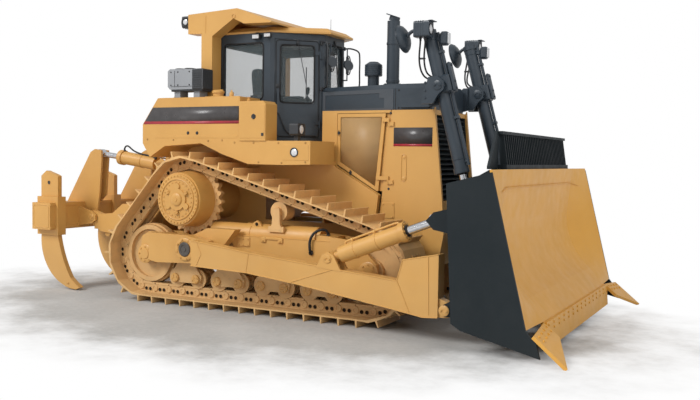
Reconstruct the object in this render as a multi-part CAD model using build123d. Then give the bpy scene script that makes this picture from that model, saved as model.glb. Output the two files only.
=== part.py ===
# Track-type bulldozer with a semi-U blade and a three-shank ripper.
# Millimetres. +X is forward, +Y is the left side, +Z is up, and the ground is at z = 0.
# Sizes are laid out from a point midway between the idlers. The last section moves everything in X,
# so that the origin lies under the middle of the machine's overall length.

from build123d import *
from math import atan2, cos, hypot, pi, radians, sin, tan
import os

# Fits and seats
seat_gap = 0.3            # what a bolted piece keeps from the face that carries it
pin_clearance = 0.05      # radial, between a pin and its bore
moving_gap = 6            # between a moving piece and what it passes

# Undercarriage
track_gauge = 2250        # between the middles of the two tracks
shoe_width = 610
shoe_count = 43           # each side
grouser_height = 84
grouser_tip = 14          # thickness at the tip
grouser_root = 26
shoe_thickness = 17
link_height = 146         # from the shoe to the rail
link_thickness = 52
link_spacing = 150        # between the middles of the two rails of a chain
bushing_radius = 36
pin_above_shoe = 70       # from the shoe's inner face to the pin line
wheelbase = 3474          # between the idlers' centres
idler_height = 655        # the idlers' centres above the ground
idler_hub_radius = 150
fork_length = 497         # from an idler's centre to the end of the track frame's beam
sprocket_x = -1040
sprocket_height = 1440
sprocket_teeth = 25
sprocket_thickness = 80
drive_radius = 357        # the final drive's cover
drive_reach = 1490        # from the middle to the cover's face
boss_radius = 42          # the cover's three lobes
roller_radius = 112
roller_flange = 22        # how far the flange stands over the tread
roller_spacing = 350
bogie_count = 4
carrier_x = 395
carrier_radius = 125

# Track frame
frame_half_width = 185
pivot_x = -330
pivot_z = 800
pivot_radius = 110
fork_inner = 125          # from the middle of the track to the fork's plates
frame_bottom = 590
frame_top = 968
recoil_radius = 140
recoil_z = 1008
trunnion_plate = 140      # how far the trunnion's box stands out from the frame
axle_radius = 62          # the idlers' axles
roller_pin_radius = 34

# Hull
body_half_width = 470     # the case and the main frame
hull_bottom = 640
fender_half_width = 1255
fender_inner = 640
tank_top = 2805
platform_z = 2230

# Engine compartment
engine_x = 520            # the engine block's rear end
engine_length = 1000
engine_width = 640
engine_top = 2300
hood_top = 2975
hood_bottom = 2640
hood_wall = 12
guard_half_width = 585
guard_wall = 45

# Cab
cab_floor = 2245
cab_top = 3690
cab_rear_x = -950
cab_half_width = 780
cab_corner_x = -50        # where the door begins
cab_front_x = 500
windshield_half = 280
cab_wall = 50
glass_thickness = 8
door_thickness = 45
door_play = 6             # around a door in its opening
rops_inner = 795          # the roll-over frame's legs, from the middle
rops_outer = 1000
rops_top = 3999

# Blade and its arms
blade_half_width = 2155
blade_bottom = 62         # the cutting edge's lower side above the ground
centre_half = 1600        # half of the straight middle of the moldboard
moldboard_thickness = 30
end_plate_thickness = 30
arm_y = 1700              # the push arms' middles
arm_thickness = 180
trunnion_x = -795
trunnion_z = 802
trunnion_radius = 95
yoke_half = 130           # half of the lift barrel's trunnion, from its middle
blade_pin_x = 2904
blade_pin_z = 389
blade_pin_radius = 45
lift_y = 720              # the lift cylinders' middles
lift_yoke_x = 2390
lift_yoke_z = 2910
lift_barrel_radius = 82
lift_rod_radius = 42
back_x = 3160             # the flat back of the box behind the moldboard
lift_eye_x = 2993         # the rod's eye on the blade
lift_eye_z = 690
tilt_rear_x = 1443
tilt_rear_z = 849
tilt_eye_x = 2754
tilt_eye_z = 1353
tilt_barrel_radius = 98
tilt_rod_radius = 50

# Ripper
ripper_lower_x = -2090    # the lower link's pin on the bracket
ripper_lower_z = 990
ripper_link_x = -3300     # the lower link's pin on the toolbar
ripper_link_z = 1060
toolbar_rear_x = -3930
toolbar_front_x = -3560
toolbar_bottom = 890
toolbar_top = 1290
toolbar_half_width = 1350
shank_y = 1170
shank_thickness = 75
shank_depth = 330
link_y = 700              # the lower link's plates
post_y = 568              # the toolbar's posts and the tip cylinders
post_pin_x = -3290
post_pin_z = 2040
tip_rear_x = -2035        # the tip cylinders' pins on the bracket
tip_rear_z = 1880
ripper_lift_y = 330
ripper_lift_top_x = -2035
ripper_lift_top_z = 1700
ripper_lift_low_x = -3060
ripper_lift_low_z = 1010
ripper_barrel_radius = 88
ripper_rod_radius = 42
ripper_pin_radius = 45

parts = {}                # each node's solids, by the node's name


def side_view(outline, y_low, y_high):
    """An outline drawn in x and z, filled from y_low to y_high."""
    plane = Plane(origin=(0, y_high, 0), x_dir=(1, 0, 0), z_dir=(0, -1, 0))
    return extrude(plane * outline, amount=y_high - y_low, dir=(0, -1, 0))


def front_view(outline, x_low, x_high):
    """An outline drawn in y and z, filled from x_low to x_high."""
    plane = Plane(origin=(x_low, 0, 0), x_dir=(0, 1, 0), z_dir=(1, 0, 0))
    return extrude(plane * outline, amount=x_high - x_low, dir=(1, 0, 0))


def plan_view(outline, z_low, z_high):
    """An outline drawn in x and y, filled from z_low to z_high."""
    return extrude(Pos(0, 0, z_low) * outline, amount=z_high - z_low, dir=(0, 0, 1))


def shape(points, corner=0):
    """A closed outline through the points, with its corners rounded."""
    outline = Polygon(*points, align=None)
    return fillet(outline.vertices(), corner) if corner else outline


def block(x_low, x_high, y_low, y_high, z_low, z_high):
    """A box between its limits."""
    centre = ((x_low + x_high) / 2, (y_low + y_high) / 2, (z_low + z_high) / 2)
    return Pos(*centre) * Box(x_high - x_low, y_high - y_low, z_high - z_low)


def bar(start, end, radius):
    """A round bar from one point to another."""
    along = Vector(*end) - Vector(*start)
    return extrude(Plane(origin=start, z_dir=along) * Circle(radius), amount=along.length)


def across(x, z, radius, y_low, y_high):
    """A round bar along Y."""
    return bar((x, y_low, z), (x, y_high, z), radius)


def turned(part):
    """The same piece on the other side of the machine."""
    return mirror(part, about=Plane.XZ)


def both(part):
    """A piece and its twin on the other side."""
    return [part, turned(part)]


def joined(first, *others):
    """Pieces made into one solid."""
    whole = first
    for other in others:
        whole = whole + other
    return whole


# The pin line of a track: three arcs round the idlers and the sprocket, joined by straight runs
pin_height = grouser_height + shoe_thickness + pin_above_shoe
idler_pitch_radius = idler_height - pin_height
tread_radius = idler_pitch_radius - (link_height - pin_above_shoe)
sprocket_pitch_radius = idler_pitch_radius
wheels = [                # x, z of each wheel that the track goes round, in order
    (-wheelbase / 2, idler_height),
    (wheelbase / 2, idler_height),
    (sprocket_x, sprocket_height),
]


def track_spans():
    """The straight runs and arcs of the pin line: kind, length, start, heading, centre."""
    spans = []
    for index, (x, z) in enumerate(wheels):
        next_x, next_z = wheels[(index + 1) % 3]
        last_x, last_z = wheels[index - 1]
        heading = atan2(next_z - z, next_x - x)
        arriving = atan2(z - last_z, x - last_x)
        turn = (heading - arriving) % (2 * pi)
        spans.append(("arc", turn * idler_pitch_radius, (x, z), arriving))
        spans.append(("line", hypot(next_x - x, next_z - z), (x, z), heading))
    return spans


def on_track(distance):
    """A place on the pin line and the track's heading there."""
    left = distance % track_length
    for kind, length, (x, z), heading in track_spans():
        if left > length:
            left -= length
            continue
        if kind == "arc":
            heading += left / idler_pitch_radius
            left = 0
        x += idler_pitch_radius * sin(heading) + left * cos(heading)
        z += -idler_pitch_radius * cos(heading) + left * sin(heading)
        return x, z, heading
    return on_track(0)


track_length = sum(span[1] for span in track_spans())
pitch = track_length / shoe_count


def beside_track(distance, along, outward):
    """A point of a shoe or link: along the track and out from the pin line."""
    x, z, heading = on_track(distance)
    return x + along * cos(heading) + outward * sin(heading), z + along * sin(heading) - outward * cos(heading)


def track():
    """One track about y = 0: shoes with grousers, two rails of links and the bushings between them."""
    shoe_inner = pin_above_shoe
    shoe_outer = shoe_inner + shoe_thickness
    rail = shoe_inner - link_height
    outer, inner, rail_line = [], [], []
    for number in range(shoe_count):
        place = (number + 0.5) * pitch
        for along, outward in (
            (-pitch / 2 + 4, shoe_outer),
            (-grouser_root, shoe_outer),
            (-grouser_tip, shoe_outer + grouser_height),
            (0, shoe_outer + grouser_height),
            (0, shoe_outer),
        ):
            outer.append(beside_track(place, along, outward))
        inner.append(beside_track(number * pitch, 0, shoe_inner))
        rail_line.append(beside_track(number * pitch, 0, rail))
    shoes = side_view(Polygon(*outer, align=None) - Polygon(*inner, align=None), -shoe_width / 2,
                      shoe_width / 2)
    solids = [shoes]
    for side in (-1, 1):
        middle = side * link_spacing / 2
        rails = Polygon(*inner, align=None) - Polygon(*rail_line, align=None)
        solids.append(side_view(rails, middle - link_thickness / 2, middle + link_thickness / 2))
    half_gap = (link_spacing - link_thickness) / 2
    for number in range(shoe_count):
        x, z, heading = on_track(number * pitch)
        solids.append(side_view(Pos(x, z) * RegularPolygon(bushing_radius, 6), -half_gap, half_gap))
    return solids


track_y = track_gauge / 2
fork_plate = frame_half_width - fork_inner
rail_top = pin_height + link_height - pin_above_shoe
idler_radius = tread_radius * cos(pitch / 2 / idler_pitch_radius) - seat_gap
tread_half = (link_spacing + link_thickness) / 2
flange_half = (link_spacing - link_thickness) / 2 - moving_gap
roller_height = rail_top + seat_gap + roller_radius


def idler(x):
    """A guiding wheel: two treads, the flange between the rails, a dished web and its hub."""
    rim = side_view(Pos(x, idler_height) * Circle(idler_radius), -tread_half, tread_half)
    flange = side_view(Pos(x, idler_height) * Circle(idler_radius + 24), -flange_half, flange_half)
    wheel = rim + flange
    dish = Pos(x, idler_height) * (Circle(idler_radius - 60) - Circle(idler_hub_radius))
    for side in (-1, 1):
        web = side * tread_half
        wheel -= side_view(dish, min(web, web - side * 55), max(web, web - side * 55))
    return wheel + across(x, idler_height, axle_radius, -fork_inner - fork_plate + 2,
                          fork_inner + fork_plate - 2)


arm_inner = arm_y - arm_thickness / 2
arm_outer = arm_y + arm_thickness / 2
eye_inner = track_y + frame_half_width + trunnion_plate + moving_gap
trunnion_reach = arm_inner - track_y + 20


def track_frame():
    """A roller frame about y = 0: box beam, idler forks, recoil tube, trunnion box and trunnion."""
    half = frame_half_width
    rear, front = -wheelbase / 2, wheelbase / 2
    beam_rear, beam_front = rear + fork_length, front - fork_length
    nose_back = beam_front - 230
    beam = side_view(
        shape([(beam_rear, frame_bottom), (beam_front, frame_bottom), (beam_front, 1000), (-700, 1000),
               (-820, 930), (beam_rear, 930)]),
        -half, half)
    tube = bar((-660, 0, recoil_z), (nose_back - 55, 0, recoil_z), recoil_radius)
    cap = bar((nose_back - 55, 0, recoil_z), (nose_back, 0, recoil_z), recoil_radius - 22)
    nose = side_view(shape([(nose_back, 700), (beam_front, 700), (beam_front, 1050), (nose_back, 1068)]),
                     -half, half)
    frame = joined(beam, tube, cap, nose)
    forks = (              # outline of the rear and the front fork plates
        [(beam_rear + 5, frame_bottom), (rear + 97, 560), (rear - 103, 590), (rear - 63, 900),
         (rear + 57, frame_top), (beam_rear + 5, frame_top)],
        [(beam_front - 5, frame_bottom), (front - 37, 560), (front + 103, 590), (front + 103, 760),
         (front - 177, 1018), (beam_front - 5, 1050)],
    )
    for outline in forks:
        for side in (-1, 1):
            low, high = sorted((side * fork_inner, side * half))
            plate = side_view(shape(outline), low, high)
            frame += plate
    for x in (rear, front):
        frame -= across(x, idler_height, axle_radius + pin_clearance, -half - 1, half + 1)
    box = side_view(
        shape([(rear + 177, 600), (rear + 317, 572), (-795, 600), (-330, 830), (-120, 1079), (-560, 1079),
               (-820, frame_top), (rear + 177, frame_top)]),
        -half - trunnion_plate, -half)
    trunnion = across(trunnion_x, trunnion_z, trunnion_radius, -trunnion_reach, -half - trunnion_plate)
    pivot = across(pivot_x, pivot_z, pivot_radius + pin_clearance, -half - 1, half + 1)
    return frame + box + trunnion - pivot


def roller_set():
    """Eight track rollers on four bogies, about y = 0."""
    solids = []
    step = 2 * roller_spacing
    for number in range(bogie_count):
        middle = (number - (bogie_count - 1) / 2) * step
        outline = shape([(-238, 300), (238, 300), (262, 400), (120, frame_bottom), (-120, frame_bottom),
                         (-262, 400)])
        carrier = None
        for side in (-1, 1):
            low, high = sorted((side * 126, side * 160))
            plate = side_view(Pos(middle, 0) * outline, low, high)
            carrier = plate if carrier is None else carrier + plate
        carrier += block(middle - 70, middle + 70, -127, 127, 520, frame_bottom)
        for end in (-0.5, 0.5):
            x = middle + end * roller_spacing
            roller = across(x, roller_height, 78, -112, 112)
            for side in (-1, 1):
                low, high = sorted((side * 48, side * 104))
                roller += across(x, roller_height, roller_radius, low, high)
                low, high = sorted((side * 104, side * 120))
                roller += across(x, roller_height, roller_radius + roller_flange, low, high)
            roller += across(x, roller_height, roller_pin_radius, -176, 176)
            carrier -= across(x, roller_height, roller_pin_radius + pin_clearance, -180, 180)
            solids.append(roller)
        solids.append(carrier)
    return solids


def sprocket():
    """The toothed ring that drives the bushings, about y = 0."""
    middle_pin = round((track_length - track_spans()[-1][1] - track_spans()[-2][1] / 2) / pitch)
    heading = on_track(middle_pin * pitch)[2]
    step = 2 * pi / sprocket_teeth
    root = sprocket_pitch_radius - bushing_radius - 3
    tip = sprocket_pitch_radius + 6
    points = []
    for number in range(sprocket_teeth):
        angle = heading - pi / 2 + (number + 0.5) * step
        for radius, half in ((root, 0.028 * pi), (tip, 0.008 * pi)):
            for side in ((-1, 1) if radius == tip else (-1,)):
                points.append((radius * cos(angle + side * half), radius * sin(angle + side * half)))
        points.append((root * cos(angle + 0.028 * pi), root * sin(angle + 0.028 * pi)))
    outline = Pos(sprocket_x, sprocket_height) * Polygon(*points, align=None)
    return side_view(outline, -sprocket_thickness / 2, sprocket_thickness / 2)


def final_drive():
    """The final drive on the right: housing, tapered drum, cover ring and three-lobed centre."""
    housing = across(sprocket_x, sprocket_height, 300, -track_y + 40, -body_half_width)
    outer = Plane(origin=(0, -track_y - sprocket_thickness / 2, 0), x_dir=(1, 0, 0), z_dir=(0, -1, 0))
    drum = loft([
        outer * Pos(sprocket_x, sprocket_height) * Circle(idler_radius - 8),
        outer.offset(drive_reach - 40 - track_y - sprocket_thickness / 2) * Pos(sprocket_x, sprocket_height)
        * Circle(drive_radius),
    ])
    cover = across(sprocket_x, sprocket_height, drive_radius - 22, -drive_reach + 12, -drive_reach + 40)
    lobes = Circle(145)
    for number in range(3):
        angle = 90 + 120 * number
        lobes += Pos(175 * cos(radians(angle)), 175 * sin(radians(angle))) * Circle(boss_radius)
    centre = side_view(Pos(sprocket_x, sprocket_height) * lobes, -drive_reach - 8, -drive_reach + 12)
    return housing, joined(drum, cover, centre)


def carrier_roller():
    """The roller that holds the track's upper run, on its bracket, about y = 0."""
    start_x, start_z, heading = on_track(sum(span[1] for span in track_spans()[:3]) + 1)
    run_z = start_z + (carrier_x - start_x) * tan(heading)
    height = run_z + (link_height - pin_above_shoe + carrier_radius + seat_gap) / cos(heading)
    roller = across(carrier_x, height, carrier_radius, -tread_half + 8, tread_half - 8)
    roller += across(carrier_x, height, 52, -tread_half - 40, tread_half)
    post = side_view(shape([(carrier_x - 115, recoil_z + 60), (carrier_x + 115, recoil_z + 60),
                            (carrier_x + 60, recoil_z + 160), (carrier_x + 52, height + 40),
                            (carrier_x - 52, height + 40), (carrier_x - 60, recoil_z + 160)]),
                     -tread_half - 62, -tread_half - 22)
    post += block(carrier_x - 115, carrier_x + 115, -tread_half - 62, -frame_half_width + 60, recoil_z + 60,
                  recoil_z + 130)
    return post - bar((carrier_x - 200, 0, recoil_z), (carrier_x + 200, 0, recoil_z), recoil_radius) + roller


def on_side(side, *solids):
    """Pieces made about y = 0, carried to the track on one side."""
    return [Pos(0, side * track_y, 0) * (solid if side < 0 else turned(solid)) for solid in solids]


track_solids = track()
for side, name in ((-1, "right"), (1, "left")):
    parts["track_" + name] = on_side(side, *track_solids)
    parts["track_frame_" + name] = on_side(side, track_frame())
parts["idlers"] = [one for side in (-1, 1) for x in (-wheelbase / 2, wheelbase / 2) for one in on_side(side,
                                                                                                       idler(x))]
parts["track_rollers"] = [one for side in (-1, 1) for one in on_side(side, *roller_set())]
parts["carrier_rollers"] = [one for side in (-1, 1) for one in on_side(side, carrier_roller())]
parts["sprockets"] = [one for side in (-1, 1) for one in on_side(side, sprocket())]
drive_housing, drive_cover = final_drive()
parts["final_drives"] = both(joined(drive_housing, drive_cover))
parts["pivot_shaft"] = [across(pivot_x, pivot_z, pivot_radius, -track_y - frame_half_width + 60,
                               track_y + frame_half_width - 60)]


# Hull: the case at the rear, the main frame under the engine, and what stands on them
case_front = -300
case_back = -1880
case_top = 1900
rail_inner = 300
rail_top_z = 1150
guard_front = 2400
case = side_view(shape([(case_back, 780), (-1760, hull_bottom), (case_front, hull_bottom),
                        (case_front, case_top),
                        (-1800, case_top), (case_back, 1800)]),
                 -body_half_width, body_half_width)
rails = block(case_front, 1540, -body_half_width, body_half_width, hull_bottom + 60, rail_top_z)
rails -= block(case_front, 1540, -rail_inner, rail_inner, hull_bottom + 110, rail_top_z + 1)
nose = side_view(shape([(1540, hull_bottom + 60), (2330, hull_bottom + 60), (guard_front, 1100), (2390, 1200),
                        (1540, 1200)]),
                 -guard_half_width + guard_wall, guard_half_width - guard_wall)
pivot_bore = across(pivot_x, pivot_z, pivot_radius + pin_clearance, -body_half_width - 1, body_half_width + 1)
tow_z = 800
tow_thickness = 90
tow_radius = 34
tow_x = 2450              # the front tow plate's hole
tow_plate = plan_view(shape([(2300, -150), (2420, -150), (tow_x + 70, -60), (tow_x + 70, 60), (2420, 150),
                             (2300, 150)]), tow_z, tow_z + tow_thickness)
tow_hole = bar((tow_x, 0, tow_z - 1), (tow_x, 0, tow_z + tow_thickness + 1), tow_radius)
parts["main_frame"] = [joined(case, rails, nose, tow_plate) - pivot_bore - tow_hole]

parts["engine"] = [
    joined(block(engine_x, engine_x + engine_length, -engine_width / 2, engine_width / 2, rail_top_z,
                 engine_top),
           block(engine_x + 100, engine_x + engine_length - 100, -rail_inner - 24, rail_inner + 24,
                 rail_top_z, rail_top_z + 90)),
]

side_outline = shape([(1668, hood_bottom), (1547, 1544), (1500, 1200), (1500, 700), (2330, 700),
                      (guard_front, 1100),
                      (2370, 1520), (2250, 2670), (2240, hood_bottom)])
guard_plate = side_view(side_outline, -guard_half_width, -guard_half_width + guard_wall)
hinge_x = 1635            # the engine doors' hinges on the guard
hinge_y = guard_half_width + 13
knuckle_radius = 14
knuckle_half = 50         # height of each half of a hinge
strap = 6                 # half of a hinge strap's thickness
engine_hinges = (         # lower end, and the door's front rail there
    (1700, 1465),
    (2440, 1540),
)
for low, rail in engine_hinges:
    guard_plate += bar((hinge_x, -hinge_y, low), (hinge_x, -hinge_y, low + knuckle_half), knuckle_radius - 2)
    guard_plate += block(hinge_x, hinge_x + 70, -hinge_y - strap, -guard_half_width + 1, low,
                         low + knuckle_half)
front_sill = side_view(shape([(2290, 1200), (2390, 1200), (2370, 1500), (2290, 1500)]),
                       -guard_half_width + guard_wall, guard_half_width - guard_wall)
top_bar = block(1900, 2240, -guard_half_width + guard_wall, guard_half_width - guard_wall, hood_bottom - 60,
                hood_bottom)
parts["radiator_guard"] = [joined(guard_plate, turned(guard_plate), front_sill, top_bar)]

grille_half = guard_half_width - guard_wall - seat_gap
louvre_count = 17
grille_low = 1500 + seat_gap
grille_high = hood_bottom - 60 - seat_gap
grille_back = block(2120, 2150, -grille_half, grille_half, grille_low, grille_high)
for side in (-1, 1):
    low, high = sorted((side * grille_half, side * (grille_half - 40)))
    grille_back += side_view(shape([(2120, grille_low), (2330, grille_low), (2235, grille_high),
                                    (2120, grille_high)]),
                             low, high)
louvre_step = (grille_high - grille_low) / louvre_count
for number in range(louvre_count):
    z = grille_low + (number + 0.15) * louvre_step
    x = 2322 - number * 90 / louvre_count
    grille_back += side_view(shape([(x, z), (x, z + 10), (x - 82, z + 46), (x - 82, z + 34)]),
                             -grille_half + 20, grille_half - 20)
parts["grille"] = [grille_back]
parts["radiator"] = [block(1960, 2120, -grille_half + 20, grille_half - 20, rail_top_z + 50, grille_high)]

# Hood, tapered in plan, open underneath, with a bevel along each upper edge
hood_half = 550
hood_plan = [(500, -320), (1690, -hood_half), (2200, -hood_half), (2200, hood_half), (1690, hood_half),
             (500, 320)]
hood_inner = [(x + (hood_wall if x < 600 else -hood_wall if x > 2000 else 0),
               y - hood_wall * (1 if y > 0 else -1))
              for x, y in hood_plan]
hood_upper = [(x + (10 if x < 600 else -10 if x > 2000 else 0), y - 60 * (1 if y > 0 else -1)) for x,
              y in hood_plan]
hood_shoulder = hood_top - 60
hood_shell = plan_view(shape(hood_plan), hood_bottom, hood_shoulder)
hood_shell += loft([Pos(0, 0, hood_shoulder) * shape(hood_plan), Pos(0, 0, hood_top) * shape(hood_upper)])
hood_shell -= plan_view(shape(hood_inner), hood_bottom - 1, hood_shoulder - 10)
parts["hood"] = [hood_shell]

stack_x = 1400
stack_radius = 85
stack = bar((stack_x, 0, hood_top), (stack_x, 0, 3860), stack_radius)
stack += bar((stack_x, 0, hood_top), (stack_x, 0, hood_top + 45), stack_radius + 40)
stack += extrude(Plane(origin=(stack_x, 0, 3860), z_dir=(0.35, 0, 1)) * Circle(stack_radius - 14), amount=60)
cap = Plane(origin=(stack_x - 12, 0, 3925), x_dir=(1, 0, -0.35),
            z_dir=(0.35, 0, 1)) * Circle(stack_radius + 12)
stack += extrude(cap, amount=12)
cleaner_x = 1110
cleaner = bar((cleaner_x, 0, hood_top), (cleaner_x, 0, 3140), 78)
cleaner += bar((cleaner_x, 0, 3140), (cleaner_x, 0, 3290), 118)
cleaner += loft([Plane((cleaner_x, 0, 3290)) * Circle(118), Plane((cleaner_x, 0, 3330)) * Circle(60)])
parts["exhaust"] = [stack, cleaner]

# Engine enclosure: ledge under the hood, fixed panels and the hinged doors
panel_inner = 560
panel_outer = 590
door_rear_x = 890
ledge = block(660, 1655, -panel_outer, panel_outer, hood_bottom - 34, hood_bottom - seat_gap)
ledge -= block(660 - 1, 1691, -300, 300, hood_bottom - 60, hood_bottom + 1)
rear_panel = block(660, door_rear_x - door_play, -panel_outer, -panel_inner, 1250, hood_bottom - 34)
low_panel = side_view(shape([(door_rear_x - door_play, 1250), (1490, 1250), (1520, 1560), (1478, 1588),
                             (door_rear_x - door_play, 1925)]), -panel_outer, -panel_inner)
back_wall = block(660, 690, -panel_inner, panel_inner, rail_top_z + 1, hood_bottom - 34)
back_wall -= block(650, 700, -engine_width / 2 - 10, engine_width / 2 + 10, rail_top_z, engine_top + 10)
enclosure = joined(ledge, rear_panel, low_panel, turned(rear_panel), turned(low_panel), back_wall)
parts["engine_panels"] = [enclosure]

door_outline = shape([(door_rear_x, 2600), (1585, 2600), (1495, 1612), (1478, 1604), (door_rear_x, 1940)])
door_panel = side_view(door_outline, -panel_outer, -panel_inner)
window = shape([(door_rear_x + 45, 2555), (1535, 2555), (1450, 1665), (door_rear_x + 45, 1975)])
door_panel -= side_view(window, -panel_outer - 1, -panel_inner - 6)
for low, rail in engine_hinges:
    middle = low + knuckle_half + seat_gap
    door_panel += bar((hinge_x, -hinge_y, middle), (hinge_x, -hinge_y, middle + knuckle_half),
                      knuckle_radius - 2)
    door_panel += block(rail, hinge_x, -hinge_y - strap, -hinge_y + strap, middle, middle + knuckle_half)
    door_panel += block(rail, rail + 35, -hinge_y - strap, -panel_inner - 10, middle, middle + knuckle_half)
parts["engine_door_right"] = [door_panel]
parts["engine_door_left"] = [turned(door_panel)]

# Fenders over the tracks, joined by the deck that carries the tank and the cab
fender_front = 872
arch = [(-1844, 2190), (-1717, 1999), (-1450, 2153), (-831, 2192), (-483, 2053), (-66, 1928), (501, 1924),
        (fender_front, 1936), (fender_front, platform_z), (-1844, platform_z)]
fender = side_view(shape(arch), -fender_half_width, -fender_inner)
skirt = side_view(shape([(case_front, 1500), (1480, 1180), (1520, 1555), (1478, 1583), (fender_front, 1915),
                         (fender_front, 1975), (501, 1975), (501, case_top), (case_front, case_top)]),
                  -fender_inner, -fender_inner + 40)
deck = block(-1780, 500, -fender_inner, fender_inner, case_top, platform_z)
parts["fenders"] = [joined(deck, fender, turned(fender))]
parts["side_skirts"] = both(skirt)

# Fuel tank round the back of the cab, with the storage boxes in front of it
tank_front = -201
cab_gap = 12
tank = side_view(shape([(-1844, platform_z), (-1844, 2450), (-1577, tank_top), (tank_front, tank_top),
                        (tank_front, platform_z)]),
                 -fender_half_width, fender_half_width)
tank -= block(cab_rear_x - cab_gap, 1000, -cab_half_width - cab_gap, cab_half_width + cab_gap, platform_z - 1,
              tank_top + 1)
parts["fuel_tank"] = [tank]
box_end = 210
walkway = 220             # between the cab and the boxes, where the doors swing
box_outline = shape([(tank_front, platform_z), (box_end, platform_z), (box_end, 2700), (box_end - 40, 2740),
                     (tank_front, 2740)])
box = side_view(box_outline, -fender_half_width - 15, -cab_half_width - walkway)
parts["side_boxes"] = both(box)

cooler_x = -1410
cooler_end = -820
cooler = side_view(shape([(cooler_x, 2960), (cooler_x + 40, 2920), (cooler_end, 2920), (cooler_end, 3185),
                          (cooler_x + 40, 3200), (cooler_x, 3170)]), -1245, -1015)
cooler += block(cooler_x + 80, cooler_x + 180, -1200, -1030, tank_top, 2921)
cooler += block(cooler_end - 180, cooler_end - 80, -1200, -1030, tank_top, 2921)
parts["aircon_box"] = [cooler]


# Cab: a plan that narrows to the windshield, doors in the angled sides, windows cut
cab_plan = [(cab_rear_x, -cab_half_width), (cab_corner_x, -cab_half_width), (cab_front_x, -windshield_half),
            (cab_front_x, windshield_half), (cab_corner_x, cab_half_width), (cab_rear_x, cab_half_width)]


def inset(points, distance):
    """The same outline moved inwards."""
    return offset(Polygon(*points, align=None), amount=-distance, kind=Kind.INTERSECTION)


window_low = 2800
window_high = 3560
window_margin = 110
door_side = Vector(cab_corner_x - cab_front_x, -cab_half_width + windshield_half, 0)
door_face_length = door_side.length
door_margin = 62          # from the cab's corners to the door
door_low = 2290
door_high = 3610
door_window_margin = 70
door_window_low = 2760


def on_door_face(start, end, low, high, depth_out, depth_in):
    """A box in the right door's plane: distances from the front corner, heights, and depths."""
    face = Plane(origin=(cab_front_x, -windshield_half, 0), x_dir=door_side, z_dir=(0, 0, 1))
    return face * block(start, end, -depth_in, depth_out, low, high)


cab = plan_view(shape(cab_plan), cab_floor, cab_top)
cab -= plan_view(inset(cab_plan, cab_wall), cab_floor + 40, cab_top - 40)
cab -= block(cab_front_x - 90, cab_front_x + 10, -windshield_half + 62, windshield_half - 62, 2720,
             window_high + 20)
cab -= block(cab_rear_x - 10, cab_rear_x + 90, -cab_half_width + window_margin,
             cab_half_width - window_margin,
             window_low, window_high)
side_cut = block(cab_rear_x + window_margin + 30, cab_corner_x - window_margin, -cab_half_width - 10,
                 -cab_half_width + 90, window_low, window_high)
door_cut = on_door_face(door_margin, door_face_length - door_margin, door_low, door_high, 90, 120)
for cut in (side_cut, door_cut):
    cab = cab - cut - turned(cut)
cab_hinges = (2420, 3360)
hinge_start = door_margin - 4
hinge_out = knuckle_radius - 2


def cab_hinge(low):
    """One half of a door hinge, standing on its axis beside the door."""
    face = Plane(origin=(cab_front_x, -windshield_half, 0), x_dir=door_side, z_dir=(0, 0, 1))
    return face * bar((hinge_start, hinge_out, low), (hinge_start, hinge_out, low + knuckle_half),
                      knuckle_radius - 3)


for low in cab_hinges:
    frame_half = cab_hinge(low) + on_door_face(hinge_start - 40, hinge_start, low, low + knuckle_half,
                                               hinge_out, 1)
    cab = cab + frame_half + turned(frame_half)
parts["cab_frame"] = [cab]

glass_inset = 22          # from the cab's outer faces to the panes
windshield = block(cab_front_x - 30, cab_front_x - 30 + glass_thickness, -windshield_half + 62,
                   windshield_half - 62,
                   2720, window_high + 20)
rear_glass = block(cab_rear_x + glass_inset, cab_rear_x + glass_inset + glass_thickness,
                   -cab_half_width + window_margin,
                   cab_half_width - window_margin, window_low, window_high)
side_glass = block(cab_rear_x + window_margin + 30, cab_corner_x - window_margin,
                   -cab_half_width + glass_inset,
                   -cab_half_width + glass_inset + glass_thickness, window_low, window_high)
parts["cab_glass"] = [windshield, rear_glass, *both(side_glass)]

leaf_start = door_margin + door_play
leaf_end = door_face_length - door_margin - door_play
leaf = on_door_face(leaf_start, leaf_end, door_low + door_play, door_high - door_play, 0, door_thickness)
leaf -= on_door_face(leaf_start + door_window_margin, leaf_end - door_window_margin, door_window_low,
                     door_high - door_play - door_window_margin, 50, door_thickness + 50)
for low in cab_hinges:
    middle = low + knuckle_half + seat_gap
    leaf += cab_hinge(middle)
    leaf += on_door_face(hinge_start, hinge_start + 70, middle, middle + knuckle_half, hinge_out, -1)
    leaf += on_door_face(leaf_start, hinge_start + 70, middle, middle + knuckle_half, hinge_out, 1)
pull = on_door_face(leaf_end - 52, leaf_end - 22, 2620, 2900, 34, 0) - on_door_face(
    leaf_end - 60, leaf_end - 10, 2645, 2875, 20, 0)
leaf_glass = on_door_face(leaf_start + door_window_margin, leaf_end - door_window_margin, door_window_low,
                          door_high - door_play - door_window_margin, -18, 18 + glass_thickness)
parts["cab_door_right"] = [leaf + pull]
parts["cab_door_left"] = [turned(leaf + pull)]
parts["cab_door_glass_right"] = [leaf_glass]
parts["cab_door_glass_left"] = [turned(leaf_glass)]

# Roof: a low crown on the cab, with a vent box on top
roof_plan = [(cab_rear_x - 12, -rops_inner + 8), (cab_corner_x, -rops_inner + 8),
             (cab_front_x + 120, -windshield_half - 40),
             (cab_front_x + 120, windshield_half + 40), (cab_corner_x, rops_inner - 8),
             (cab_rear_x - 12, rops_inner - 8)]
roof_edge = 3715
roof_crown = 3775
roof = plan_view(shape(roof_plan), cab_top, roof_edge)
roof += loft([Pos(0, 0, roof_edge) * shape(roof_plan), Pos(0, 0, roof_crown) * inset(roof_plan, 90)])
roof += block(130, 380, -150, 150, roof_crown, roof_crown + 28)
parts["cab_roof"] = [roof]

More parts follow.
